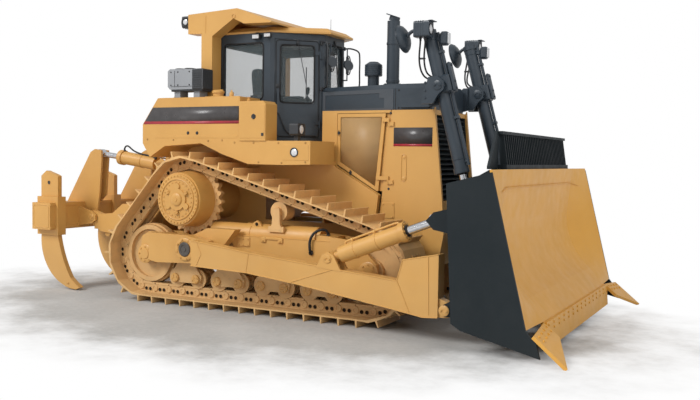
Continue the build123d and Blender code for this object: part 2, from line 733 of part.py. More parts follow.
# Seat and console inside
seat_x = -430
seat = block(seat_x - 250, seat_x + 250, -250, 250, cab_floor + 340, cab_floor + 450)
seat = fillet(seat.edges().filter_by(Axis.Z), 60)
seat += side_view(shape([(seat_x - 280, cab_floor + 400), (seat_x - 160, cab_floor + 400),
                         (seat_x - 220, cab_floor + 1050), (seat_x - 330, cab_floor + 1050)]), -230, 230)
seat += block(seat_x - 190, seat_x + 170, -190, 190, cab_floor + 40, cab_floor + 341)
parts["seat"] = [seat]
console = side_view(shape([(330, cab_floor + 40), (430, cab_floor + 40), (430, cab_floor + 760),
                           (330, cab_floor + 700)]), -200, 200)
arm_rest = block(seat_x - 150, seat_x + 300, -470, -330, cab_floor + 40, cab_floor + 640)
parts["console"] = [console, *both(arm_rest)]

# Roll-over frame: two legs on the tank, a cross beam and the hood over the roof
leg = side_view(shape([(-1090, tank_top), (-800, tank_top), (-800, tank_top + 30), (-850, tank_top + 30),
                       (-850, 3650), (-500, 3868), (-330, 3790), (100, 3778), (100, 3800), (-440, rops_top),
                       (-1260, 3965), (-1260, 3700), (-1030, 3690), (-1030, tank_top + 30),
                       (-1090, tank_top + 30)]),
                -rops_outer, -rops_inner)
beam = block(-1260, -960, -rops_inner, rops_inner, 3790, 3965)
cover = side_view(shape([(-960, 3925), (-440, 3955), (100, 3776), (100, 3800), (-440, rops_top),
                         (-960, 3965)]),
                  -rops_inner, rops_inner)
parts["rops"] = [joined(leg, turned(leg), beam, cover)]

# Mirrors: a bent bracket on the windshield post with an oval glass
mirror_x = 575
bracket = bar((cab_front_x, -235, 3560), (mirror_x, -235, 3560), 9)
bracket += bar((mirror_x, -235, 3569), (mirror_x, -235, 3111), 9)
bracket += bar((mirror_x, -235, 3120), (cab_front_x, -235, 3120), 9)
disc = Plane(origin=(mirror_x + 9, -235, 3330), z_dir=(1, 0, 0)) * Ellipse(70, 130)
bracket += extrude(disc, amount=22)
parts["mirrors"] = both(bracket)


def unit(start, end):
    """The direction from one point of the side view to another, and the distance."""
    length = hypot(end[0] - start[0], end[1] - start[1])
    return (end[0] - start[0]) / length, (end[1] - start[1]) / length, length


lug_plate = 34            # each plate beside a cylinder's eye
base_pin_radius = 36


def cylinder(side, pin, eye, from_pin, barrel_end, rod_start, barrel_radius, rod_radius, eye_radius,
             eye_width):
    """A barrel and a rod at one distance from the middle. Distances run from the pin towards the eye."""
    along_x, along_z, length = unit(pin, eye)

    def place(distance):
        return pin[0] + distance * along_x, side, pin[1] + distance * along_z

    barrel = bar(place(from_pin), place(barrel_end), barrel_radius)
    barrel += bar(place(barrel_end - 70), place(barrel_end), barrel_radius * 1.16)
    if from_pin >= 0:
        barrel += bar(place(0), place(from_pin), eye_width / 2 - 3)
        barrel += across(pin[0], pin[1], eye_radius, side - eye_width / 2, side + eye_width / 2)
        pin_half = eye_width / 2 + moving_gap + lug_plate
        barrel += across(pin[0], pin[1], base_pin_radius, side - pin_half, side + pin_half)
        bore_start = from_pin + 12
    else:
        barrel += across(pin[0], pin[1], barrel_radius * 0.7, side - yoke_half, side + yoke_half)
        barrel += bar(place(from_pin), place(from_pin + 60), barrel_radius * 1.1)
        bore_start = from_pin + 50
    barrel -= bar(place(bore_start), place(barrel_end + 1), rod_radius + pin_clearance)
    rod = bar(place(rod_start), place(length), rod_radius)
    rod += across(eye[0], eye[1], eye_radius, side - eye_width / 2, side + eye_width / 2)
    return barrel, rod


pin_ear = 70              # how far the blade's ears reach round the lower pin

# Push arms: box beams outside the tracks, with an eye on the trunnion and a lug for the blade
arm_front = blade_pin_x - pin_ear - 2 * moving_gap
arm_profile = [(-565, 944), (290, 845), (1425, 743), (2328, 664), (2396, 905), (arm_front, 990),
               (arm_front, 485),
               (arm_front, 300), (2639, 288), (2334, 336), (1696, 425), (1017, 520), (292, 597), (-563, 621)]
arm = side_view(shape(arm_profile), -arm_outer, -arm_inner)
arm_lug = 60              # half thickness of the lug at the blade pin
lug_radius = 88
lug = side_view(shape([(2700, 300), (blade_pin_x, blade_pin_z - lug_radius),
                       (blade_pin_x, blade_pin_z + lug_radius),
                       (2700, 560)]), -arm_y - arm_lug, -arm_y + arm_lug)
lug += across(blade_pin_x, blade_pin_z, lug_radius, -arm_y - arm_lug, -arm_y + arm_lug)
eye_radius = 178
eye = across(trunnion_x, trunnion_z, eye_radius, -arm_inner + moving_gap, -eye_inner)
cheek = side_view(shape([(trunnion_x, trunnion_z - eye_radius), (-470, 625), (-470, 925),
                         (trunnion_x, trunnion_z + eye_radius)]), -arm_inner, -eye_inner)
arm = joined(arm, lug, eye, cheek) - across(trunnion_x, trunnion_z, trunnion_radius + pin_clearance,
                                            -arm_inner - 1, -eye_inner + 1)
arm -= across(blade_pin_x, blade_pin_z, blade_pin_radius + pin_clearance, -arm_outer - 1, -arm_inner + 1)
tilt_eye_radius = 80
tilt_eye_width = 112
tilt_lug_gap = tilt_eye_width / 2 + moving_gap
for side in (-1, 1):
    low, high = sorted((side * tilt_lug_gap, side * (tilt_lug_gap + lug_plate)))
    ear = side_view(shape([(1290, 740), (1620, 715), (tilt_rear_x + 75, tilt_rear_z + 45),
                           (tilt_rear_x, tilt_rear_z + 85), (tilt_rear_x - 75, tilt_rear_z + 45)]),
                    -arm_y + low, -arm_y + high)
    arm += ear
arm -= across(tilt_rear_x, tilt_rear_z, base_pin_radius + pin_clearance,
              -arm_y - tilt_lug_gap - lug_plate - 1,
              -arm_y + tilt_lug_gap + lug_plate + 1)
parts["push_arms"] = both(arm)

# The moldboard's curved middle and its straight-edged ends, as one skin on a deep welded back
blade_top = 1925
face_points = {           # x, z of the face at the middle and at the ends: top, curve start, curve middle, end, foot
    "middle": [(3474, blade_top), (3415, 1330), (3468, 975), (3749, 566), (3930, 340)],
    "end": [(3512, blade_top), (3657, 1330), (3743, 975), (3842, 567), (3898, 340)],
}
wing_start = 1500


def face_line(place, behind):
    """The face of the moldboard in the side view, moved back by a distance."""
    top, start, middle, end, foot = [(x - behind, z) for x, z in face_points[place]]
    return Line(foot, end) + ThreePointArc(end, middle, start) + Line(start, top)


def skin_section(place):
    """The moldboard's skin: the face and the same line moved back by the plate's thickness."""
    top, foot = face_points[place][0], face_points[place][4]
    back_top = (top[0] - moldboard_thickness, top[1])
    back_foot = (foot[0] - moldboard_thickness, foot[1])
    return make_face(face_line(place, 0) + Line(top, back_top) + face_line(place, moldboard_thickness)
                     + Line(back_foot, foot))


def lofted_blade(section_of):
    """The middle extruded and the two wings lofted out to the end plates."""
    middle, end = section_of("middle"), section_of("end")
    outer = blade_half_width - end_plate_thickness
    planes = [Plane(origin=(0, y, 0), x_dir=(1, 0, 0), z_dir=(0, -1, 0)) for y in (-wing_start, -outer)]
    wing = loft([planes[0] * middle, planes[1] * end], ruled=True)
    return joined(side_view(middle, -wing_start, wing_start), wing, turned(wing))


back_points = {           # x, z behind the skin, from the top down
    "middle": [(3330, blade_top), (back_x, 1600), (back_x, 760), (3240, 340)],
    "end": [(3330, 1840), (back_x, 1600), (back_x, 760), (3240, 340)],
}


def back_section(place):
    """The box behind the skin."""
    top, foot = face_points[place][0], face_points[place][4]
    corners = back_points[place]
    front_top = (top[0] - moldboard_thickness, top[1])
    front_foot = (foot[0] - moldboard_thickness, foot[1])
    return make_face(face_line(place, moldboard_thickness) + Polyline(front_top, *corners, front_foot))


parts["moldboard"] = [lofted_blade(skin_section)]
frame = lofted_blade(back_section)
for y_low, y_high in ((-1380, -880), (-560, -60), (60, 560), (880, 1380)):
    frame -= block(3000, back_x + 70, y_low, y_high, 820, 1180)
    frame -= block(3000, back_x + 70, y_low, y_high, 1260, 1560)
lift_eye_radius = 74
lift_eye_width = 84
lift_lug_gap = lift_eye_width / 2 + moving_gap
ears = (                  # y, outline, gap from the middle of the eye
    (arm_y, [(back_x + 60, 640), (blade_pin_x, blade_pin_z + pin_ear), (blade_pin_x - 60, blade_pin_z + 35),
             (blade_pin_x - 60, blade_pin_z - 35), (blade_pin_x, blade_pin_z - pin_ear),
             (back_x + 130, 340)], arm_lug + moving_gap),
    (arm_y, [(back_x + 30, 1560), (tilt_eye_x, tilt_eye_z + 95), (tilt_eye_x - 90, tilt_eye_z),
             (tilt_eye_x, tilt_eye_z - 95), (back_x + 30, 1180)], tilt_lug_gap),
    (lift_y, [(back_x + 30, 770), (lift_eye_x + 20, lift_eye_z + 80), (lift_eye_x - 50, lift_eye_z + 62),
              (lift_eye_x - 80, lift_eye_z), (lift_eye_x - 50, lift_eye_z - 62),
              (lift_eye_x, lift_eye_z - 80),
              (back_x + 60, 560)], lift_lug_gap),
)
for y, outline, gap in ears:
    for side in (-1, 1):
        low, high = sorted((side * gap, side * (gap + lug_plate)))
        plate = side_view(shape(outline), -y + low, -y + high)
        frame = frame + plate + turned(plate)
pin = across(blade_pin_x, blade_pin_z, blade_pin_radius, -arm_y - arm_lug - moving_gap - lug_plate - 14,
             -arm_y + arm_lug + moving_gap + lug_plate + 14)
frame = frame + pin + turned(pin)
bit_top = 340
edge_low_x = 3960
bit_thickness = 38
bit_corners = [           # x, y, z of the right end bit: inner top, outer top, outer tip, inner bottom
    (3940, -centre_half - seat_gap, bit_top),
    (3985, -blade_half_width, 300),
    (4325, -blade_half_width - 5, 16),
    (edge_low_x + 30, -centre_half - seat_gap, blade_bottom),
]
bit_top_line = Vector(*bit_corners[1]) - Vector(*bit_corners[0])
bit_normal = bit_top_line.cross(Vector(*bit_corners[2]) - Vector(*bit_corners[0])).normalized()


def behind_bit(z):
    """The x and z where the end plate meets the back of the bit."""
    rest = -bit_thickness - seat_gap - bit_normal.Y * (-blade_half_width - bit_corners[0][1]) - bit_normal.Z * (
        z - bit_corners[0][2])
    return (bit_corners[0][0] + rest / bit_normal.X, z)


end_plate = shape([(3032, 1775), (3517, 1900), (3898, 340), behind_bit(290), behind_bit(235), (4050, 70),
                   (3212, 267),
                   (3110, 330)], 0)
end_plate = side_view(end_plate, -blade_half_width, -blade_half_width + end_plate_thickness)
parts["blade_frame"] = [joined(frame, end_plate, turned(end_plate))]

# Cutting edge: the straight middle and an end bit that flares forward on each side
edge_thickness = 40
edge_top = bit_top
middle_edge = side_view(
    shape([(3930 + seat_gap, edge_top), (3930 + seat_gap + edge_thickness, edge_top),
           (edge_low_x + 30, blade_bottom),
           (edge_low_x - 22, blade_bottom), (3898, edge_top)]),
    -centre_half, centre_half)
bit_plane = Plane(origin=bit_corners[0], x_dir=bit_top_line, z_dir=bit_normal)
bit_outline = [(bit_plane.to_local_coords(Vector(*corner)).X, bit_plane.to_local_coords(Vector(*corner)).Y)
               for corner in bit_corners]
bit = extrude(bit_plane * Polygon(*bit_outline, align=None), amount=-bit_thickness)
parts["cutting_edge"] = [middle_edge, *both(bit)]

# Trash rack: upright bars between two rails on top of the blade, with raking ends
rack_half = 1400
rack_top = 2340
bar_gap = 74
rack_x = 3345
bars_each_side = int(rack_half / bar_gap)
rack = block(rack_x - 40, rack_x + 40, -rack_half, rack_half, rack_top - 34, rack_top)
rack += block(rack_x - 10, rack_x + 90, -rack_half, rack_half, blade_top + seat_gap, blade_top + 50)
upright = side_view(shape([(rack_x, blade_top + 49), (rack_x + 80, blade_top + 49),
                           (rack_x + 30, rack_top - 33),
                           (rack_x - 40, rack_top - 33)]), -9, 9)
for number in range(-bars_each_side, bars_each_side + 1):
    rack += Pos(0, number * bar_gap, 0) * upright
rake = front_view(shape([(-rack_half, rack_top), (-rack_half, blade_top + 50),
                         (-rack_half, blade_top + seat_gap),
                         (-1680, blade_top + seat_gap), (-1680, blade_top + 30),
                         (-rack_half - 40, rack_top)]),
                  rack_x - 40, rack_x - 8)
parts["trash_rack"] = [joined(rack, rake, turned(rake))]

# Tilt cylinders on the arms and lift cylinders on the yokes
tilt_barrel, tilt_rod = cylinder(-arm_y, (tilt_rear_x, tilt_rear_z), (tilt_eye_x, tilt_eye_z), 150, 1030, 700,
                                 tilt_barrel_radius, tilt_rod_radius, tilt_eye_radius, tilt_eye_width)
lift_barrel, lift_rod = cylinder(-lift_y, (lift_yoke_x, lift_yoke_z), (lift_eye_x, lift_eye_z), -690, 1085,
                                 520,
                                 lift_barrel_radius, lift_rod_radius, lift_eye_radius, lift_eye_width)
lift_x, lift_z, lift_length = unit((lift_yoke_x, lift_yoke_z), (lift_eye_x, lift_eye_z))
pipe_shift = 108          # the oil pipe ahead of the barrel
pipe_radius = 20


def beside_lift(distance, ahead):
    """A point beside the lift cylinder's axis."""
    return (lift_yoke_x + distance * lift_x - ahead * lift_z, -lift_y,
            lift_yoke_z + distance * lift_z + ahead * lift_x)


lift_barrel += bar(beside_lift(-640, pipe_shift), beside_lift(1010, pipe_shift), pipe_radius)
for distance in (-600, 960):
    lift_barrel += bar(beside_lift(distance, lift_rod_radius + 12), beside_lift(distance, pipe_shift), pipe_radius - 3)
for name, piece in (("tilt_barrel", tilt_barrel), ("tilt_rod", tilt_rod), ("lift_barrel", lift_barrel),
                    ("lift_rod", lift_rod)):
    parts[name + "s"] = both(piece)

# Yokes: forked arms from the radiator guard round each lift cylinder
yoke_inner = lift_barrel_radius * 1.16 + moving_gap
yoke_plate = 40
yoke = None
for side in (-1, 1):
    low, high = sorted((side * yoke_inner, side * (yoke_inner + yoke_plate)))
    fork = side_view(
        shape([(2200, 2770), (2270, 3010), (2390, 3020), (2470, 2950), (2470, 2860), (2400, 2800),
               (2330, 2690),
               (2180, 2690)]),
        -lift_y + low, -lift_y + high)
    yoke = fork if yoke is None else yoke + fork
yoke += block(2180, 2262, -lift_y - yoke_inner - 1, -lift_y + yoke_inner + 1, 2700, 2860)
yoke -= across(lift_yoke_x, lift_yoke_z, lift_barrel_radius * 0.7 + pin_clearance, -lift_y - yoke_inner - 99,
               -lift_y + yoke_inner + 99)
yoke += side_view(shape([(1780, 2670 + seat_gap), (1780, 2800), (2000, 2830), (2200, 2990), (2260, 2990),
                         (2260, 2690),
                         (2180, 2670 + seat_gap)]), -lift_y + yoke_inner + 20, -hood_half)
parts["lift_yokes"] = both(yoke)

# Lamps: a rounded housing with a recessed lens, and the bracket that carries it
def lamp(x, y, z, way, size):
    """A lamp that looks forward or back."""
    housing = Pos(x, y, z) * Box(*size)
    housing = fillet(housing.edges().filter_by(Axis.X), 24)
    lens = Plane(origin=(x + way * size[0] / 2, y, z), z_dir=(way, 0, 0)) * Circle(min(size[1],
                                                                                       size[2]) * 0.4)
    return housing - extrude(lens, amount=-14)


work_lamp_size = (200, 150, 190)
work_lamp_y = -lift_y - lift_barrel_radius * 1.1 - seat_gap - work_lamp_size[1] / 2
work_lamp = lamp(lift_yoke_x - 660 * lift_x - 10, work_lamp_y, lift_yoke_z - 660 * lift_z + 30, 1,
                 work_lamp_size)
parts["work_lamps"] = both(work_lamp)
fender_lamp = lamp(560, -1060, platform_z + 150, 1, (130, 180, 150))
fender_lamp += block(530, 590, -1090, -1030, platform_z, platform_z + 76)
rear_lamp = lamp(-1345, -880, 3880, -1, (120, 160, 160))
rear_lamp += block(-1290, -1260, -910, -850, 3850, 3910)
parts["lamps"] = [*both(fender_lamp), *both(rear_lamp)]

# Ripper bracket: a plate on the back of the case with cheeks for the link and the cylinders
base_back = case_back - 60
link_half = 40            # half of a link plate
link_gap = link_half + moving_gap
cheek = 35                # thickness of each cheek
lift_gap = 45 + moving_gap
lower_cheek = [(base_back, 860), (ripper_lower_x - 20, 880), (ripper_lower_x - 100, 950),
               (ripper_lower_x - 100, 1040),
               (ripper_lower_x - 20, 1110)]
upper_cheek = [(tip_rear_x - 95, tip_rear_z - 40), (tip_rear_x - 85, tip_rear_z + 50),
               (tip_rear_x, tip_rear_z + 95),
               (base_back - 10, tip_rear_z + 50)]
cheeks = (                # y of the inner and the outer face, outline
    (link_y + link_gap, link_y + link_gap + cheek, [*lower_cheek, (base_back, 1250)]),
    (link_y - link_gap - cheek, link_y - link_gap,
     [*lower_cheek, (base_back - 60, 1500), *upper_cheek, (base_back, 1860)]),
    (post_y - lift_gap - cheek, post_y - lift_gap, [(base_back, 1500), (base_back - 60, 1560), *upper_cheek,
                                                     (base_back, 1860)]),
    (ripper_lift_y + lift_gap, ripper_lift_y + lift_gap + cheek,
     [(base_back, 1500), (ripper_lift_top_x - 55, 1600), (ripper_lift_top_x - 90, 1700),
      (ripper_lift_top_x - 30, 1785),
      (base_back, 1810)]),
    (ripper_lift_y - lift_gap - cheek, ripper_lift_y - lift_gap,
     [(base_back, 1500), (ripper_lift_top_x - 55, 1600), (ripper_lift_top_x - 90, 1700),
      (ripper_lift_top_x - 30, 1785),
      (base_back, 1810)]),
)
base_half = link_y + link_gap + cheek
bracket = block(base_back, case_back, -base_half, base_half, 860, 1860)
for inner_y, outer_y, outline in cheeks:
    plate = side_view(shape(outline), -outer_y, -inner_y)
    bracket = bracket + plate + turned(plate)
link_pin = across(ripper_lower_x, ripper_lower_z, ripper_pin_radius, -base_half - 10,
                  -link_y + link_gap + cheek + 10)
bores = (
    (tip_rear_x, tip_rear_z, post_y - 60 - cheek, post_y + lift_gap + 1),
    (ripper_lift_top_x, ripper_lift_top_z, ripper_lift_y - lift_gap - cheek - 1,
     ripper_lift_y + lift_gap + cheek + 1),
)
for x, z, inner_y, outer_y in bores:
    bore = across(x, z, base_pin_radius + pin_clearance, -outer_y - cheek, -inner_y)
    bracket = bracket - bore - turned(bore)
parts["ripper_bracket"] = [bracket + link_pin + turned(link_pin)]

# Lower link: two deep plates joined by cross tubes, with ears for the lift cylinders
link_outline = [(ripper_link_x - 90, ripper_link_z + 40), (ripper_link_x, ripper_link_z + 110), (-3130, 1116),
                (-2902, 1141), (-2702, 1286), (-2540, 1300), (-2300, 1180),
                (ripper_lower_x, ripper_lower_z + 95),
                (ripper_lower_x + 85, ripper_lower_z + 40), (ripper_lower_x + 85, ripper_lower_z - 40),
                (ripper_lower_x, ripper_lower_z - 95), (-2400, 840), (-2862, 824), (-3147, 855),
                (ripper_link_x, ripper_link_z - 110), (ripper_link_x - 90, ripper_link_z - 40)]
tubes = ((-2500, 960, 80), (-3040, 835, 56))          # x, z and radius of the cross tubes
link = side_view(shape(link_outline), -link_y - link_half, -link_y + link_half)
for x, z in ((ripper_lower_x, ripper_lower_z), (ripper_link_x, ripper_link_z)):
    link -= across(x, z, ripper_pin_radius + pin_clearance, -link_y - link_half - 1, -link_y + link_half + 1)
link = link + turned(link)
for x, z, radius in tubes:
    link += across(x, z, radius, -link_y, link_y)
lift_ear = [(-3000, 860), (ripper_lift_low_x + 75, ripper_lift_low_z + 30),
            (ripper_lift_low_x, ripper_lift_low_z + 80),
            (ripper_lift_low_x - 75, ripper_lift_low_z + 20), (-3090, 840)]
for gap_side in (-1, 1):
    low, high = sorted((gap_side * lift_gap, gap_side * (lift_gap + lug_plate)))
    ear = side_view(shape(lift_ear), -ripper_lift_y + low, -ripper_lift_y + high)
    link = link + ear + turned(ear)
parts["ripper_link"] = [link]
pin_inner = link_y - link_gap - cheek
pin_outer = link_y + link_gap + cheek
parts["ripper_pins"] = both(across(ripper_link_x, ripper_link_z, ripper_pin_radius, -pin_outer, -pin_inner))

# Toolbar: box beam, pockets for the shanks, ears for the link and posts for the tip cylinders
collar_wall = 40
pocket_low = 806
pocket_high = 1380
shank_back = toolbar_rear_x + 35
shank_front = shank_back + shank_depth + 20
toolbar = block(toolbar_rear_x, toolbar_front_x, -toolbar_half_width, toolbar_half_width, toolbar_bottom,
                toolbar_top)
for y in (-shank_y, 0, shank_y):
    toolbar += block(shank_back - collar_wall, shank_front + collar_wall,
                     y - shank_thickness / 2 - collar_wall,
                     y + shank_thickness / 2 + collar_wall, pocket_low, pocket_high)
for y in (-shank_y, 0, shank_y):
    toolbar -= block(shank_back - seat_gap, shank_front + seat_gap, y - shank_thickness / 2 - seat_gap,
                     y + shank_thickness / 2 + seat_gap, pocket_low - 1, pocket_high + 1)
ear_outline = [(toolbar_front_x - 60, 920), (ripper_link_x, ripper_link_z - 95),
               (ripper_link_x + 85, ripper_link_z - 40),
               (ripper_link_x + 85, ripper_link_z + 40), (ripper_link_x, ripper_link_z + 95)]
post_top = [(-3257, 1404), (post_pin_x + 78, post_pin_z - 80), (post_pin_x + 70, post_pin_z + 50),
            (post_pin_x - 60, post_pin_z + 68), (post_pin_x - 150, post_pin_z + 20), (-3850, 1420),
            (toolbar_rear_x, toolbar_top), (toolbar_rear_x, toolbar_top - 60)]
toolbar_plates = (
    (link_y + link_gap, pin_outer, [*ear_outline, (toolbar_front_x - 60, 1240)]),
    (pin_inner, link_y - link_gap, [*ear_outline, *post_top]),
    (post_y - lift_gap - cheek, post_y - lift_gap, [(toolbar_front_x - 60, 1240), (-3380, 1290), *post_top]),
)
for inner_y, outer_y, outline in toolbar_plates:
    plate = side_view(shape(outline), -outer_y, -inner_y)
    toolbar = toolbar + plate + turned(plate)
bore = across(ripper_link_x, ripper_link_z, ripper_pin_radius + pin_clearance, -pin_outer - 1, -pin_inner + 1)
parts["toolbar"] = [toolbar - bore - turned(bore)]

shank_turn = pocket_low - 12
tip = (-3110, 42)
heel = (-3185, 16)
shank_line = (Polyline((shank_front, shank_turn), (shank_front, 1690), (shank_front - 40, 1710),
                       (shank_back + 110, 1770),
                       (shank_back, 1690), (shank_back, shank_turn))
              + ThreePointArc((shank_back, shank_turn), (-3690, 225), heel) + Line(heel, tip)
              + Line(tip, (-3292, 180)) + ThreePointArc((-3292, 180), (-3448, 470),
                                                        (shank_front, shank_turn)))
parts["shanks"] = [side_view(make_face(shank_line), y - shank_thickness / 2, y + shank_thickness / 2)
                   for y in (-shank_y, 0, shank_y)]

ripper_cylinders = (
    ("ripper_tip", -post_y, (tip_rear_x, tip_rear_z), (post_pin_x, post_pin_z), 150, 860, 450, 98),
    ("ripper_lift", -ripper_lift_y, (ripper_lift_top_x, ripper_lift_top_z),
     (ripper_lift_low_x, ripper_lift_low_z),
     125, 745, 488, ripper_barrel_radius),
)
for name, y, pin_place, eye_place, from_pin, barrel_end, rod_start, radius in ripper_cylinders:
    barrel, rod = cylinder(y, pin_place, eye_place, from_pin, barrel_end, rod_start, radius,
                           ripper_rod_radius, 68, 90)
    parts[name + "_barrels"] = both(barrel)
    parts[name + "_rods"] = both(rod)

# The origin goes under the middle of the overall length
front_end = bit_corners[2][0]
rear_end = shank_back - collar_wall
origin_x = (front_end + rear_end) / 2

os.makedirs("parts", exist_ok=True)
for node, solids in parts.items():
    placed = [Pos(-origin_x, 0, 0) * solid for one in solids for solid in one.solids()]
    export_step(Compound(children=placed), "parts/" + node + ".step")
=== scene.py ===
import math

import bmesh
import bpy
import numpy as np
from mathutils import Matrix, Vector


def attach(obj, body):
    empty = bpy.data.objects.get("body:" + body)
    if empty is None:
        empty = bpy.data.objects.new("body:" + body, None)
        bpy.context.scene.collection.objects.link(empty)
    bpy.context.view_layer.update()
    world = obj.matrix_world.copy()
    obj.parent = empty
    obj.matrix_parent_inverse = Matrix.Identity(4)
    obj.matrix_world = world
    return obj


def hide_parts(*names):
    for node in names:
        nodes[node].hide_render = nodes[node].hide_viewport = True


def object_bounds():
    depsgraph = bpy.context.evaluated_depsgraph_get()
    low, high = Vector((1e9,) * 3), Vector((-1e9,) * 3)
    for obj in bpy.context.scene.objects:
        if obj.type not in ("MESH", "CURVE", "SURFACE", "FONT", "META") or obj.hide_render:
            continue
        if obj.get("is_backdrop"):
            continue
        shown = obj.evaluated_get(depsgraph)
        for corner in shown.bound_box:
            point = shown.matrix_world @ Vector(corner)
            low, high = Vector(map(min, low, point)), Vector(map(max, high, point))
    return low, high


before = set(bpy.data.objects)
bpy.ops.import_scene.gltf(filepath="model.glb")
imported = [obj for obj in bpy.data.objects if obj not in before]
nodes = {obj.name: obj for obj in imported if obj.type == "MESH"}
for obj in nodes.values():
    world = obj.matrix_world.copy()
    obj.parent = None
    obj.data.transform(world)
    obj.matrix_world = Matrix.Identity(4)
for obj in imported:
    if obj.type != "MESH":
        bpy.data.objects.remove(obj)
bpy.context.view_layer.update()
print("frame loaded:", len(nodes), "nodes")

originShift = 0.195  # the machine's middle lies this far ahead of the sprocket datum


# camera, solved from the photograph
cameraLook = {
    "place": (6.15033 - originShift, -10.15013, 2.01037),
    "yaw": 27.893056,  # degrees from +Y towards -X
    "pitch": 2.819948,  # degrees down
    "roll": 0.855194,
    "lens": 829.5069 / 700 * 36,
}


# looks along the yaw and pitch, then rolls about the line of sight
def aimCamera(look):
    data = bpy.data.cameras.new("photoCamera")
    data.sensor_width = 36
    data.lens = look["lens"]
    data.clip_end = 200
    camera = bpy.data.objects.new("photoCamera", data)
    bpy.context.scene.collection.objects.link(camera)
    yaw, pitch, roll = (math.radians(look[k]) for k in ("yaw", "pitch", "roll"))
    ahead = np.array([-math.sin(yaw) * math.cos(pitch), math.cos(yaw) * math.cos(pitch), -math.sin(pitch)])
    right = np.array([math.cos(yaw), math.sin(yaw), 0.0])
    up = np.cross(right, ahead)
    rightRolled = right * math.cos(roll) + up * math.sin(roll)
    upRolled = -right * math.sin(roll) + up * math.cos(roll)
    turn = np.eye(4)
    turn[:3, 0], turn[:3, 1], turn[:3, 2] = rightRolled, upRolled, -ahead
    turn[:3, 3] = look["place"]
    camera.matrix_world = Matrix(turn.tolist())
    bpy.context.scene.camera = camera


aimCamera(cameraLook)
bpy.context.scene.view_settings.view_transform = "Standard"


# gives a node its inputs by name or number: another node's output is linked, a value is set
def feed(tree, node, inputs):
    for name, value in inputs.items():
        socket = node.inputs[name]
        if isinstance(value, bpy.types.NodeSocket):
            tree.links.new(value, socket)
        else:
            socket.default_value = (*value, 1) if socket.type == "RGBA" else value


def addNode(tree, kind, inputs, **settings):
    node = tree.nodes.new("ShaderNode" + kind)
    for name, value in settings.items():
        setattr(node, name, value)
    feed(tree, node, inputs)
    return node


def newMaterial(name):
    material = bpy.data.materials.new(name)
    material.use_nodes = True
    tree = material.node_tree
    tree.nodes.clear()
    shader = addNode(tree, "BsdfPrincipled", {})
    addNode(tree, "OutputMaterial", {"Surface": shader.outputs["BSDF"]})
    return material, tree, shader


def objectPoint(tree):
    return addNode(tree, "TexCoord", {}).outputs["Object"]


def noise(tree, point, scale, detail=4, rough=0.55):
    inputs = {"Scale": scale, "Detail": detail, "Roughness": rough, "Vector": point}
    return addNode(tree, "TexNoise", inputs).outputs["Fac"]


def remap(tree, value, low, high, toLow=0.0, toHigh=1.0):
    inputs = {"From Min": low, "From Max": high, "To Min": toLow, "To Max": toHigh, "Value": value}
    return addNode(tree, "MapRange", inputs).outputs["Result"]


def mathNode(tree, kind, *values):
    return addNode(tree, "Math", dict(enumerate(values)), operation=kind).outputs[0]


# the mix node takes its share in input 0 and its two colours in inputs 6 and 7
def mixColour(tree, factor, a, b):
    return addNode(tree, "Mix", {0: factor, 6: a, 7: b}, data_type="RGBA").outputs[2]


def bump(tree, shader, height, strength, distance):
    node = addNode(tree, "Bump", {"Strength": strength, "Distance": distance, "Height": height})
    feed(tree, shader, {"Normal": node.outputs["Normal"]})


# the x, y and z of a point as three outputs
def axesOf(tree, point):
    return addNode(tree, "SeparateXYZ", {"Vector": point}).outputs


# sprayed paint: broad tone changes, fine orange peel, dust that thins out upwards
def paintedSteel(name, look):
    material, tree, shader = newMaterial(name)
    point = objectPoint(tree)
    broad = noise(tree, point, look.get("broad", 1.3), 3)
    fine = noise(tree, point, look.get("fine", 26.0), 5, 0.6)
    tone = mixColour(tree, remap(tree, broad, 0.35, 0.65), look["colour"], look["shade"])
    tone = mixColour(tree, remap(tree, fine, 0.56, 0.74, 0.0, look.get("speckle", 0.25)), tone, look["worn"])
    unevenness = remap(tree, noise(tree, point, 3.1, 5), 0.3, 0.7, -0.35, 0.35)
    dustLine = mathNode(tree, "ADD", axesOf(tree, point)["Z"], unevenness)
    dust = remap(tree, dustLine, look.get("dustTop", 1.3), 0.05, 0.0, look.get("dustMost", 0.35))
    rough = remap(tree, noise(tree, point, 7.0, 4), 0.3, 0.7, look["rough"] - 0.07, look["rough"] + 0.1)
    feed(tree, shader, {"Base Color": mixColour(tree, dust, tone, look["dust"]), "Roughness": rough,
                        "Metallic": 0.0, "Specular IOR Level": look.get("gloss", 0.5)})
    peel = mathNode(tree, "MULTIPLY", noise(tree, point, 240.0, 2), 0.35)
    grain = mathNode(tree, "ADD", peel, noise(tree, point, 34.0, 3))
    bump(tree, shader, grain, look.get("bump", 0.1), look.get("bumpDepth", 0.002))
    return material


